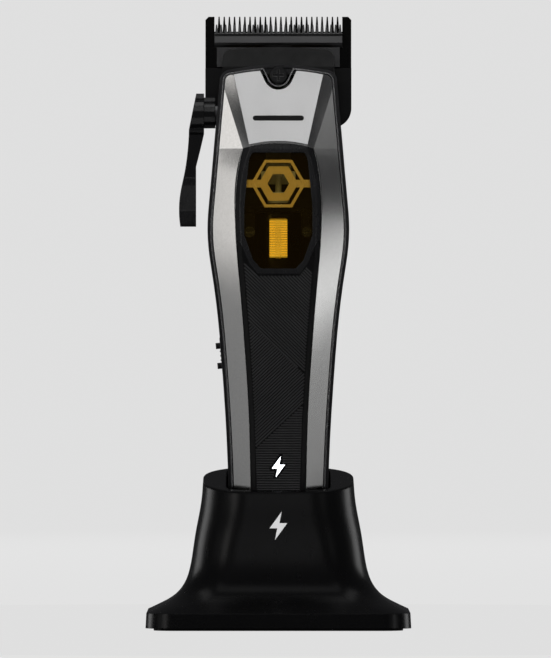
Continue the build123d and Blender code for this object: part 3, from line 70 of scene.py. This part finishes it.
camera_data = bpy.data.cameras.new("camera")
camera_data.lens = LENS
camera_data.sensor_width = SENSOR
camera_data.clip_end = FARTHEST_SEEN
camera = bpy.data.objects.new("camera", camera_data)
camera.location = VIEW_MIDDLE + Vector((0.0, -CAMERA_DISTANCE, 0.0))
camera.rotation_euler = (math.radians(90), 0, 0)         # level, looking along +Y
bpy.context.scene.collection.objects.link(camera)
bpy.context.scene.camera = camera
bpy.context.scene.view_settings.view_transform = "Standard"


# ------------------------------------------------------------------ node helpers
NOISE_MIDDLE = (0.3, 0.7)     # where most of a noise's values lie
BEVEL_SAMPLES = 4
FULL_EDGE = 0.80              # cosine between the rounded and the true normal where an edge is fully lightened, as wear and as a painted highlight
OPEN_FACE = 0.99              # and where a face counts as flat


class Shader:
    """One procedural material: its node tree, with short calls to add and join nodes."""

    def __init__(self, name):
        self.material = bpy.data.materials.new(name)
        self.material.use_nodes = True
        self.tree = self.material.node_tree
        self.surface = self.tree.nodes["Principled BSDF"]
        self.output = self.tree.nodes["Material Output"]
        self.coordinates = self.add("ShaderNodeTexCoord").outputs["Object"]
        self.rounded = None

    def add(self, kind, **settings):
        """Adds a node; settings are its own properties."""
        node = self.tree.nodes.new(kind)
        for key, value in settings.items():
            setattr(node, key, value)
        return node

    def link(self, source, target):
        """Joins an output to an input."""
        self.tree.links.new(source, target)

    def noise(self, size, detail=3.0, stretch=(1.0, 1.0, 1.0), roughness=0.55):
        """A noise whose blotches are about the given size in metres, drawn out along the axes by stretch."""
        mapping = self.add("ShaderNodeMapping")
        mapping.inputs["Scale"].default_value = [1.0 / (size * part) for part in stretch]
        self.link(self.coordinates, mapping.inputs["Vector"])
        texture = self.add("ShaderNodeTexNoise")
        texture.inputs["Scale"].default_value = 1.0
        texture.inputs["Detail"].default_value = detail
        texture.inputs["Roughness"].default_value = roughness
        self.link(mapping.outputs["Vector"], texture.inputs["Vector"])
        return texture.outputs["Fac"]

    def spread(self, value, lowest, highest, start=NOISE_MIDDLE[0], end=NOISE_MIDDLE[1]):
        """Maps the stretch from start to end of a value to the stretch from lowest to highest."""
        ramp = self.add("ShaderNodeMapRange")
        ramp.inputs["From Min"].default_value = start
        ramp.inputs["From Max"].default_value = end
        ramp.inputs["To Min"].default_value = lowest
        ramp.inputs["To Max"].default_value = highest
        self.link(value, ramp.inputs["Value"])
        return ramp.outputs["Result"]

    def blend(self, share, first, second):
        """A colour that goes from the first to the second with the share."""
        mix = self.add("ShaderNodeMix", data_type="RGBA")
        self.link(share, mix.inputs["Factor"])
        for socket, colour in ((mix.inputs["A"], first), (mix.inputs["B"], second)):
            if isinstance(colour, tuple):
                socket.default_value = (*colour, 1.0)
            else:
                self.link(colour, socket)
        return mix.outputs["Result"]

    def edges(self, radius):
        """1 along the edges of a solid, 0 on its open faces; bump() shades these edges as rounded off."""
        bevel = self.add("ShaderNodeBevel", samples=BEVEL_SAMPLES)
        bevel.inputs["Radius"].default_value = radius
        self.rounded = bevel.outputs["Normal"]
        geometry = self.add("ShaderNodeNewGeometry")
        product = self.add("ShaderNodeVectorMath", operation="DOT_PRODUCT")
        self.link(bevel.outputs["Normal"], product.inputs[0])
        self.link(geometry.outputs["Normal"], product.inputs[1])
        return self.spread(product.outputs["Value"], 1.0, 0.0, FULL_EDGE, OPEN_FACE)

    def bump(self, *layers):
        """Adds bump layers, each a height between 0 and 1 and its depth in metres."""
        normal = self.rounded
        for height, depth in layers:
            node = self.add("ShaderNodeBump")
            node.inputs["Distance"].default_value = depth
            self.link(height, node.inputs["Height"])
            if normal:
                self.link(normal, node.inputs["Normal"])
            normal = node.outputs["Normal"]
        self.link(normal, self.surface.inputs["Normal"])


FLOW_SIZE = 14 * MM           # blotches that the plastic's flow leaves
MARK_SIZE = 3 * MM            # handling marks
MARK_STRETCH = (1, 1, 2.5)    # they are short and wide
WEAR_AND_HIGHLIGHT_MARKS = (0.4, 0.75)          # mark values at which an edge's lightening, part wear and part painted highlight, begins and is full
POLISH_SIZE = 9 * MM          # patches of uneven polish on metal
METAL_EDGE = 0.15 * MM        # how wide a metal edge is painted lighter, as wear and as a painted highlight


def moulded(name, dark, light, roughness, grain=0.25 * MM, grain_depth=0.004 * MM, edge_wear_and_highlight=(0.1, 0.1, 0.1),
            wear_and_highlight_share=0.35, wear_and_highlight_width=0.25 * MM, gloss=0.5, clouding=0.006 * MM, unevenness=0.17):
    """Moulded plastic: spark-eroded grain, faint flow clouding, handling marks, and lighter edges that are
    partly wear and partly a painted highlight.
    """
    made = Shader(name)
    clouds = made.noise(FLOW_SIZE, detail=4)
    marks = made.noise(MARK_SIZE, detail=6, stretch=MARK_STRETCH)
    speckle = made.noise(grain, detail=2)
    body = made.blend(made.spread(clouds, 0.0, 1.0), dark, light)
    # edges painted lighter, partly as wear and partly as a painted highlight
    wear_and_highlight = made.add("ShaderNodeMath", operation="MULTIPLY")
    made.link(made.edges(wear_and_highlight_width), wear_and_highlight.inputs[0])
    made.link(made.spread(marks, 0.0, wear_and_highlight_share, *WEAR_AND_HIGHLIGHT_MARKS), wear_and_highlight.inputs[1])
    made.link(made.blend(wear_and_highlight.outputs["Value"], body, edge_wear_and_highlight), made.surface.inputs["Base Color"])
    made.link(made.spread(marks, roughness * (1 - unevenness), roughness * (1 + unevenness)),
              made.surface.inputs["Roughness"])
    made.surface.inputs["Specular IOR Level"].default_value = gloss
    made.bump((speckle, grain_depth), (clouds, clouding))
    return made.material


def metal(name, dark, light, roughness, grain=0.12 * MM, stretch=(1, 1, 1), grain_depth=0.0006 * MM,
          edge_wear_and_highlight=(0.8, 0.8, 0.78), wear_and_highlight_share=0.3, spread=0.25, metallic=1.0, painted_glow=None):
    """Bare, plated or lacquered metal: fine directional grain, uneven polish, bright edges that are partly
    wear and partly a painted highlight, and a painted glow where one is given.
    """
    made = Shader(name)
    hair = made.noise(grain, detail=3, stretch=stretch)
    polish = made.noise(POLISH_SIZE, detail=5)
    body = made.blend(made.spread(hair, 0.0, 1.0), dark, light)
    # edges painted brighter, partly as wear and partly as a painted highlight
    wear_and_highlight = made.add("ShaderNodeMath", operation="MULTIPLY")
    made.link(made.edges(METAL_EDGE), wear_and_highlight.inputs[0])
    made.link(made.spread(polish, 0.0, wear_and_highlight_share), wear_and_highlight.inputs[1])
    made.link(made.blend(wear_and_highlight.outputs["Value"], body, edge_wear_and_highlight), made.surface.inputs["Base Color"])
    made.link(made.spread(polish, roughness * (1 - spread), roughness * (1 + spread)),
              made.surface.inputs["Roughness"])
    made.surface.inputs["Metallic"].default_value = metallic
    # painted glow: the metal gives off light though it is no lamp
    if painted_glow:
        made.link(made.blend(made.spread(polish, 0.0, 1.0), *painted_glow), made.surface.inputs["Emission Color"])
        made.surface.inputs["Emission Strength"].default_value = 1.0
    made.bump((hair, grain_depth))
    return made.material


ACRYLIC_IOR = 1.49
WINDOW_TINTS = ((0.985, 0.905, 0.63), (0.99, 0.925, 0.68))
WINDOW_BODY = (0.06, 0.035, 0.006, 1.0)
WINDOW_GLOSS = 0.02           # share of the surface's own gloss seen square on


def window_glass(name):
    """Clear amber plastic: tinted light comes through, and the surface keeps its own gloss."""
    made = Shader(name)
    tint = made.noise(6 * MM, detail=2)
    through = made.add("ShaderNodeBsdfTransparent")
    made.link(made.blend(made.spread(tint, 0.0, 1.0), *WINDOW_TINTS), through.inputs["Color"])
    made.surface.inputs["Base Color"].default_value = WINDOW_BODY
    made.link(made.spread(made.noise(2 * MM, detail=5), 0.04, 0.10), made.surface.inputs["Roughness"])
    made.bump((made.noise(8 * MM), 0.01 * MM))
    gloss = made.add("ShaderNodeFresnel")
    gloss.inputs["IOR"].default_value = ACRYLIC_IOR
    share = made.spread(gloss.outputs["Fac"], WINDOW_GLOSS, 1.0, 0.0, 1.0)
    mixed = made.add("ShaderNodeMixShader")
    made.link(share, mixed.inputs["Fac"])
    made.link(through.outputs["BSDF"], mixed.inputs[1])
    made.link(made.surface.outputs["BSDF"], mixed.inputs[2])
    made.link(mixed.outputs["Shader"], made.output.inputs["Surface"])
    return made.material


SIGN_GLOW = 2.6


def lit_sign(name):
    """White diffuser lit from behind, faintly uneven."""
    made = Shader(name)
    made.surface.inputs["Base Color"].default_value = (0.85, 0.87, 0.90, 1.0)
    made.surface.inputs["Roughness"].default_value = 0.35
    made.surface.inputs["Emission Strength"].default_value = SIGN_GLOW
    soft = made.spread(made.noise(2 * MM, detail=2), 0.0, 1.0)
    made.link(made.blend(soft, (0.86, 0.92, 1.0), (1.0, 1.0, 1.0)), made.surface.inputs["Emission Color"])
    made.bump((made.noise(0.2 * MM), 0.001 * MM))
    return made.material


TRACK_SCALE = 260.0           # how densely the board's copper tracks lie
TRACK_GAP = 0.03


def circuit_board(name):
    """Green solder mask over copper tracks."""
    made = Shader(name)
    tracks = made.add("ShaderNodeTexBrick")
    tracks.inputs["Scale"].default_value = TRACK_SCALE
    tracks.inputs["Mortar Size"].default_value = TRACK_GAP
    made.link(made.coordinates, tracks.inputs["Vector"])
    made.link(made.blend(tracks.outputs["Fac"], (0.008, 0.075, 0.03), (0.03, 0.16, 0.05)),
              made.surface.inputs["Base Color"])
    made.link(made.spread(made.noise(1 * MM), 0.22, 0.36), made.surface.inputs["Roughness"])
    made.bump((tracks.outputs["Fac"], 0.02 * MM), (made.noise(0.3 * MM), 0.004 * MM))
    return made.material


MATERIALS = {
    "stand_gloss": moulded("stand_gloss", (0.0022, 0.0022, 0.0024), (0.0028, 0.0028, 0.003), 0.27,
                           grain=0.5 * MM, grain_depth=0.0001 * MM, edge_wear_and_highlight=(0.02, 0.02, 0.02), wear_and_highlight_share=0.2,
                           wear_and_highlight_width=0.5 * MM, gloss=0.22, clouding=0.001 * MM, unevenness=0.02),
    "base_matte": moulded("base_matte", (0.003, 0.003, 0.0032), (0.006, 0.006, 0.0062), 0.50, gloss=0.3),
    "foot_rubber": moulded("foot_rubber", (0.012, 0.012, 0.012), (0.022, 0.022, 0.022), 0.80,
                           grain=0.4 * MM, grain_depth=0.02 * MM, gloss=0.3),
    "steel": metal("steel", (0.42, 0.42, 0.43), (0.60, 0.60, 0.61), 0.30),
    "board": circuit_board("board"),
    "gold": metal("gold", (0.80, 0.56, 0.22), (0.95, 0.72, 0.34), 0.22, edge_wear_and_highlight=(1.0, 0.85, 0.5)),
    "print_white": moulded("print_white", (0.86, 0.86, 0.86), (0.92, 0.92, 0.92), 0.45,
                           grain=0.15 * MM, edge_wear_and_highlight=(0.7, 0.7, 0.7)),
    "housing_black": moulded("housing_black", (0.010, 0.010, 0.011), (0.019, 0.019, 0.020), 0.42,
                             grain_depth=0.008 * MM),
    "frame_grey": metal("frame_grey", (0.075, 0.075, 0.078), (0.105, 0.105, 0.108), 0.34,
                        edge_wear_and_highlight=(0.30, 0.30, 0.30)),
    "chrome_trim": metal("chrome_trim", (0.62, 0.62, 0.62), (0.72, 0.72, 0.72), 0.16),
    # the chrome cover's bright edge lines are painted highlights, on top of wear
    "chrome_cover": metal("chrome_cover", (0.38, 0.38, 0.375), (0.42, 0.42, 0.415), 0.17,
                          grain=0.5 * MM, grain_depth=0.00002 * MM, edge_wear_and_highlight=(0.75, 0.75, 0.74), spread=0.02),
    "satin_plate": metal("satin_plate", (0.62, 0.62, 0.62), (0.68, 0.68, 0.68), 0.42,
                         grain=0.06 * MM, stretch=(1, 1, 6), grain_depth=0.0008 * MM, metallic=0.2),
    "black_mark": moulded("black_mark", (0.002, 0.002, 0.002), (0.004, 0.004, 0.004), 0.32,
                          edge_wear_and_highlight=(0.30, 0.30, 0.30), wear_and_highlight_share=0.9),
    "bezel_black": moulded("bezel_black", (0.006, 0.006, 0.0065), (0.010, 0.010, 0.0105), 0.26,
                           grain_depth=0.001 * MM, edge_wear_and_highlight=(0.10, 0.10, 0.10), wear_and_highlight_width=0.4 * MM),
    "amber_window": window_glass("amber_window"),
    # the badge's light edges are painted highlights that bring out its relief, on top of wear
    "badge_amber": moulded("badge_amber", (0.42, 0.31, 0.15), (0.50, 0.37, 0.18), 0.30,
                           edge_wear_and_highlight=(0.9, 0.72, 0.36), wear_and_highlight_share=0.9, grain_depth=0.001 * MM),
    "grip_black": moulded("grip_black", (0.0012, 0.0012, 0.0013), (0.002, 0.002, 0.0021), 0.50,
                          grain=0.12 * MM, grain_depth=0.003 * MM, edge_wear_and_highlight=(0.02, 0.02, 0.02), gloss=0.3),
    # the ribs' colour is a much lighter copy of the grip panel's black: a painted highlight that makes them
    # read as light lines
    "grip_rib": moulded("grip_rib", (0.024, 0.024, 0.025), (0.032, 0.032, 0.033), 0.40,
                        grain=0.12 * MM, grain_depth=0.001 * MM, edge_wear_and_highlight=(0.03, 0.03, 0.03)),
    "sign_light": lit_sign("sign_light"),
    # the cowl's wide, light edges are painted highlights along its sides, on top of wear
    "cowl_black": moulded("cowl_black", (0.003, 0.003, 0.003), (0.006, 0.006, 0.006), 0.42,
                          grain=0.30 * MM, grain_depth=0.03 * MM, edge_wear_and_highlight=(0.16, 0.16, 0.16), wear_and_highlight_share=0.8,
                          wear_and_highlight_width=0.6 * MM, gloss=0.3),
    "blade_black": metal("blade_black", (0.016, 0.0155, 0.0155), (0.027, 0.0265, 0.026), 0.36,
                         stretch=(1, 1, 5), edge_wear_and_highlight=(0.22, 0.17, 0.12)),
    "cutter_grey": metal("cutter_grey", (0.20, 0.20, 0.202), (0.24, 0.24, 0.242), 0.30,
                         stretch=(0.1, 1, 1), edge_wear_and_highlight=(0.24, 0.20, 0.16), spread=0.08),
    "yoke_white": moulded("yoke_white", (0.30, 0.30, 0.29), (0.38, 0.38, 0.37), 0.45, edge_wear_and_highlight=(0.5, 0.5, 0.48)),
    "motor_dark": metal("motor_dark", (0.020, 0.019, 0.018), (0.034, 0.032, 0.030), 0.30,
                        edge_wear_and_highlight=(0.55, 0.48, 0.38), wear_and_highlight_share=0.7),
    # the copper winding's emission is a painted glow that makes it look lit behind the amber window
    "copper": metal("copper", (0.95, 0.74, 0.32), (1.0, 0.84, 0.42), 0.28, grain=0.5 * MM,
                    edge_wear_and_highlight=(1.0, 0.85, 0.4), metallic=0.75, painted_glow=((0.27, 0.165, 0.012), (0.36, 0.23, 0.018))),
    "cell_wrap": moulded("cell_wrap", (0.02, 0.09, 0.24), (0.03, 0.12, 0.30), 0.26, edge_wear_and_highlight=(0.2, 0.3, 0.5)),
    "lever_black": moulded("lever_black", (0.003, 0.003, 0.0032), (0.005, 0.005, 0.0053), 0.20,
                           grain_depth=0.001 * MM, edge_wear_and_highlight=(0.10, 0.10, 0.10), wear_and_highlight_width=0.4 * MM, gloss=0.8),
    # the screws' light edges are painted glints, on top of wear
    "screw_dark": metal("screw_dark", (0.014, 0.014, 0.0145), (0.024, 0.024, 0.025), 0.30,
                        edge_wear_and_highlight=(0.5, 0.5, 0.5), wear_and_highlight_share=0.8, metallic=0.5),
    "pad_grey": moulded("pad_grey", (0.03, 0.03, 0.03), (0.05, 0.05, 0.05), 0.75, grain_depth=0.02 * MM),
}

# each node looks like its slot in the record, but for the screws that are seen from the front, which get
# painted glints on their edges
looks = {part["node"]: part["material_slot"] for part in frame["record"]["subparts"]}
looks["cover_screw"] = "screw_dark"
looks["motor_screws"] = "screw_dark"
for name, node in nodes.items():
    node.data.materials.clear()
    node.data.materials.append(MATERIALS[looks[name]])


# ------------------------------------------------------------------ the grip's ribs
RIB_PITCH = 0.78 * MM
RIB_TOP = 0.34 * MM           # width of a rib's flat top
RIB_FOOT = 0.52 * MM          # width of its foot
RIB_HEIGHT = 0.14 * MM
RIB_STEP = 2.0 * MM           # how often a rib is fitted to the curved panel
RIB_SINK = 0.03 * MM          # how far its foot is let into the panel
# a rib's corners from one foot to the other: the width there, signed by its side, and the height
RIB_SECTION = ((-RIB_FOOT, -RIB_SINK), (-RIB_TOP, RIB_HEIGHT), (RIB_TOP, RIB_HEIGHT), (RIB_FOOT, -RIB_SINK))
RIB_SAMPLE = 0.25 * MM        # how finely a rib's ends are found
RIB_SHORTEST = 3              # runs of this many samples or fewer are left out
UPPER_SLANT = math.radians(-44)
LOWER_SLANT = math.radians(43)
LEVEL = 0.0
# half-width of the ribbed field at a height, both in millimetres
FIELD_SIDE = [(32.8, 6.3), (46.0, 6.8), (65.8, 7.4), (88.7, 8.7), (105.3, 10.0), (120.2, 11.2)]
FIELD_TOP = [(11.0, 119.6), (8.6, 113.2), (6.6, 110.6)]      # along the window's bezel, right half
UPPER_SEAM = ((-9.2, 96.6), (8.3, 79.8))                     # where the ribs change direction
LOWER_SEAM = ((-7.1, 56.7), (7.4, 70.3))
SIGN_ROOM = 0.6 * MM          # plain rim around the lit sign
SEAM_ROOM = 0.02 * MM         # plain line on each side of a seam
RAY_START = 1.0               # how far in front of the object the panel is looked for
PARALLEL = 1e-12              # lines that turn less than this don't cross

panel_tree = BVHTree.FromObject(nodes["grip_panel"], bpy.context.evaluated_depsgraph_get())


def panel_front(x, z):
    """The depth of the grip panel's front at a place."""
    hit = panel_tree.ray_cast(Vector((x, front - RAY_START, z)), Vector((0, 1, 0)))
    return hit[0].y if hit[0] else None


def field_outline():
    """The ribbed field's outline in metres, from the bottom right, anticlockwise seen from the front."""
    points = [(half, height) for height, half in FIELD_SIDE] + FIELD_TOP
    points += [(-x, z) for x, z in reversed(points)]
    return [Vector((x * MM, z * MM)) for x, z in points]


def side_of(seam, point):
    """How far a point is over the seam, below 0 for one under it."""
    start, end = [Vector((x * MM, z * MM)) for x, z in seam]
    along = (end - start).normalized()
    return along.x * (point.y - start.y) - along.y * (point.x - start.x)


def crossings(origin, direction, outline):
    """Distances along a line at which it crosses a closed outline, in order."""
    found = []
    for start, end in zip(outline, outline[1:] + outline[:1]):
        edge = end - start
        turn = direction.x * edge.y - direction.y * edge.x
        if abs(turn) < PARALLEL:
            continue
        gap = start - origin
        along = (gap.x * edge.y - gap.y * edge.x) / turn
        share = (gap.x * direction.y - gap.y * direction.x) / turn
        if 0 <= share < 1:
            found.append(along)
    return sorted(found)


def rib_runs(angle, keep):
    """Straight runs at an angle, a pitch apart, on the part of the field that keep() accepts."""
    outline = field_outline()
    direction = Vector((math.cos(angle), math.sin(angle)))
    across = Vector((-direction.y, direction.x))
    offsets = [point.dot(across) for point in outline]
    first, last = math.ceil(min(offsets) / RIB_PITCH), math.floor(max(offsets) / RIB_PITCH)
    runs = []
    for index in range(first, last + 1):
        origin = across * (index * RIB_PITCH)
        cuts = crossings(origin, direction, outline)
        for begin, end in zip(cuts[::2], cuts[1::2]):
            length = end - begin
            count = max(2, math.ceil(length / RIB_SAMPLE))
            distances = [begin + length * step / count for step in range(count + 1)]
            samples = [origin + direction * distance for distance in distances]
            run = []
            for point in samples:
                if keep(point):
                    run.append(point)
                    continue
                if len(run) > RIB_SHORTEST:
                    runs.append(run)
                run = []
            if len(run) > RIB_SHORTEST:
                runs.append(run)
    return runs


def add_rib(mesh, run, across):
    """Adds one rib, a low bar with sloping sides, along a straight run on the panel."""
    stride = max(1, round(RIB_STEP / (run[1] - run[0]).length))
    points = run[:-1:stride] + [run[-1]]
    sections = []
    for point in points:
        depth = panel_front(point.x, point.y)
        if depth is None:
            return
        section = []
        for width, rise in RIB_SECTION:
            place = point + across * (width / 2)
            section.append(mesh.verts.new((place.x, depth - rise, place.y)))
        sections.append(section)
    for here, there in zip(sections, sections[1:]):
        for corner in range(len(RIB_SECTION)):
            following = (corner + 1) % len(RIB_SECTION)
            mesh.faces.new((here[corner], here[following], there[following], there[corner]))
    mesh.faces.new(sections[0])
    mesh.faces.new(reversed(sections[-1]))


def make_grip_ribs():
    """The grip's three fields of fine ribs: two slanting ones and a level one."""
    sign = BVHTree.FromObject(nodes["indicator_lens"], bpy.context.evaluated_depsgraph_get())

    def clear_of_sign(point):
        depth = panel_front(point.x, point.y)
        if depth is None:
            return False
        return sign.find_nearest(Vector((point.x, depth, point.y)))[3] > SIGN_ROOM

    def above(seam, point):
        return side_of(seam, point) > SEAM_ROOM

    def below(seam, point):
        return side_of(seam, point) < -SEAM_ROOM

    fields = [
        (UPPER_SLANT, lambda point: above(UPPER_SEAM, point)),
        (LOWER_SLANT, lambda point: below(UPPER_SEAM, point) and above(LOWER_SEAM, point)),
        (LEVEL, lambda point: below(LOWER_SEAM, point) and clear_of_sign(point)),
    ]
    mesh = bmesh.new()
    for angle, keep in fields:
        across = Vector((-math.sin(angle), math.cos(angle)))
        for run in rib_runs(angle, keep):
            add_rib(mesh, run, across)
    bmesh.ops.recalc_face_normals(mesh, faces=mesh.faces)
    data = bpy.data.meshes.new("grip_ribs")
    mesh.to_mesh(data)
    mesh.free()
    ribs = bpy.data.objects.new("grip_ribs", data)
    bpy.context.scene.collection.objects.link(ribs)
    # the ribs take the lighter copy of the grip's black, a painted highlight
    data.materials.append(MATERIALS["grip_rib"])
    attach(ribs, "clipper")


make_grip_ribs()

# ------------------------------------------------------------------ studio
STUDIO_RADIUS = 5.0           # flat floor around the object
STUDIO_CURVE = 1.3            # radius of the sweep up into the wall
STUDIO_TOP = 7.0
STUDIO_MIDDLE = 0.3           # one flat face under the object
STUDIO_GUARD = 0.2            # a last level ring keeps the floor's shading flat up to the sweep
STUDIO_SIDES = 64
SWEEP_STEPS = 8
PAPER = 0.740                 # the backdrop's own plain pale grey, before the studio light adds to it
PAPER_BASE = 0.03             # the little that it takes of the studio light
AIR = (0.045, 0.045, 0.047, 1.0)


def make_backdrop():
    """A pale floor that sweeps up into a wall all round."""
    profile = [(STUDIO_MIDDLE, 0.0), (STUDIO_RADIUS - STUDIO_GUARD, 0.0), (STUDIO_RADIUS, 0.0)]
    for step in range(1, SWEEP_STEPS + 1):
        turn = math.radians(90) * step / SWEEP_STEPS
        profile.append((STUDIO_RADIUS + STUDIO_CURVE * math.sin(turn), STUDIO_CURVE * (1 - math.cos(turn))))
    profile.append((STUDIO_RADIUS + STUDIO_CURVE, STUDIO_TOP))
    mesh = bmesh.new()
    rows = []
    for radius, height in profile:
        row = []
        for step in range(STUDIO_SIDES):
            turn = math.tau * step / STUDIO_SIDES
            row.append(mesh.verts.new((radius * math.cos(turn), radius * math.sin(turn), height)))
        rows.append(row)
    mesh.faces.new(rows[0])
    for inner, outer in zip(rows, rows[1:]):
        for step in range(STUDIO_SIDES):
            following = (step + 1) % STUDIO_SIDES
            mesh.faces.new((inner[step], inner[following], outer[following], outer[step]))
    data = bpy.data.meshes.new("backdrop")
    mesh.to_mesh(data)
    mesh.free()
    data.shade_smooth()
    backdrop = bpy.data.objects.new("backdrop", data)
    bpy.context.scene.collection.objects.link(backdrop)
    paper = Shader("backdrop_paper")
    paper.surface.inputs["Base Color"].default_value = (PAPER_BASE, PAPER_BASE, PAPER_BASE, 1.0)
    paper.surface.inputs["Roughness"].default_value = 0.9
    paper.surface.inputs["Specular IOR Level"].default_value = 0.0
    paper.surface.inputs["Emission Color"].default_value = (1.0, 1.0, 1.0, 1.0)
    paper.surface.inputs["Emission Strength"].default_value = PAPER
    data.materials.append(paper.material)
    backdrop.visible_glossy = False
    backdrop.visible_diffuse = False
    backdrop.visible_transmission = False


def softbox(name, azimuth, elevation, distance, width, height, radiance, warmth=1.0, mirrored=True):
    """A soft rectangular light that faces the object; azimuth 0 is in front, and it grows to the right.

    A light that isn't mirrored lights matt surfaces only and leaves no highlight.
    """
    turn, rise = math.radians(azimuth), math.radians(elevation)
    away = Vector((math.sin(turn) * math.cos(rise), -math.cos(turn) * math.cos(rise), math.sin(rise)))
    data = bpy.data.lights.new(name, "AREA")
    data.shape = "RECTANGLE"
    data.size = width
    data.size_y = height
    data.energy = radiance * math.pi * width * height
    data.color = (1.0, 0.5 + 0.5 * warmth, warmth)
    light = bpy.data.objects.new(name, data)
    light.location = VIEW_MIDDLE + away * distance
    light.rotation_mode = "QUATERNION"
    light.rotation_quaternion = away.to_track_quat("Z", "Y")
    light.visible_camera = False
    light.visible_glossy = mirrored
    bpy.context.scene.collection.objects.link(light)


make_backdrop()

# azimuth and elevation in degrees, then distance, width and height in metres, then radiance
softbox("front_wash", 0, 24, 1.5, 1.2, 0.8, 5.2, mirrored=False)
# the keys and fills are what the chrome cover's left and right faces mirror
softbox("left_key_low", -40.5, 3, 0.9, 0.235, 0.317, 1.9, warmth=0.95)
softbox("left_key_high", -36.5, 18.5, 0.9, 0.173, 0.173, 1.9, warmth=0.95)
softbox("left_fill_low", -60, -6, 1.1, 0.44, 0.30, 0.42)
softbox("left_fill_high", -57, 17, 1.1, 0.44, 0.27, 0.18)
softbox("right_low", 51, -3.5, 1.0, 0.155, 0.17, 2.1)
softbox("right_fill_low", 61, -7.5, 1.0, 0.19, 0.22, 0.55)
softbox("right_high", 37.5, 10, 1.0, 0.175, 0.40, 0.42)
# the rims draw the sides of the stand and of the housing
softbox("left_rim", -115, 0, 1.1, 0.44, 0.90, 2.4)
softbox("right_rim", 115, 0, 1.1, 0.44, 0.90, 2.4)
# small highlights: the name plate, the stand's flare, the cutter's ground bar
softbox("plate_box", 0, 15, 1.2, 0.40, 0.10, 1.2)
softbox("top_box", 180, 77, 1.0, 0.9, 0.4, 0.6)
softbox("blade_box", 0, 66, 1.0, 0.5, 0.3, 0.5)
softbox("rear_wash", 180, 24, 1.5, 1.2, 0.8, 3.5, mirrored=False)

world = bpy.data.worlds.new("studio_air")
world.use_nodes = True
world.node_tree.nodes["Background"].inputs["Color"].default_value = AIR
bpy.context.scene.world = world
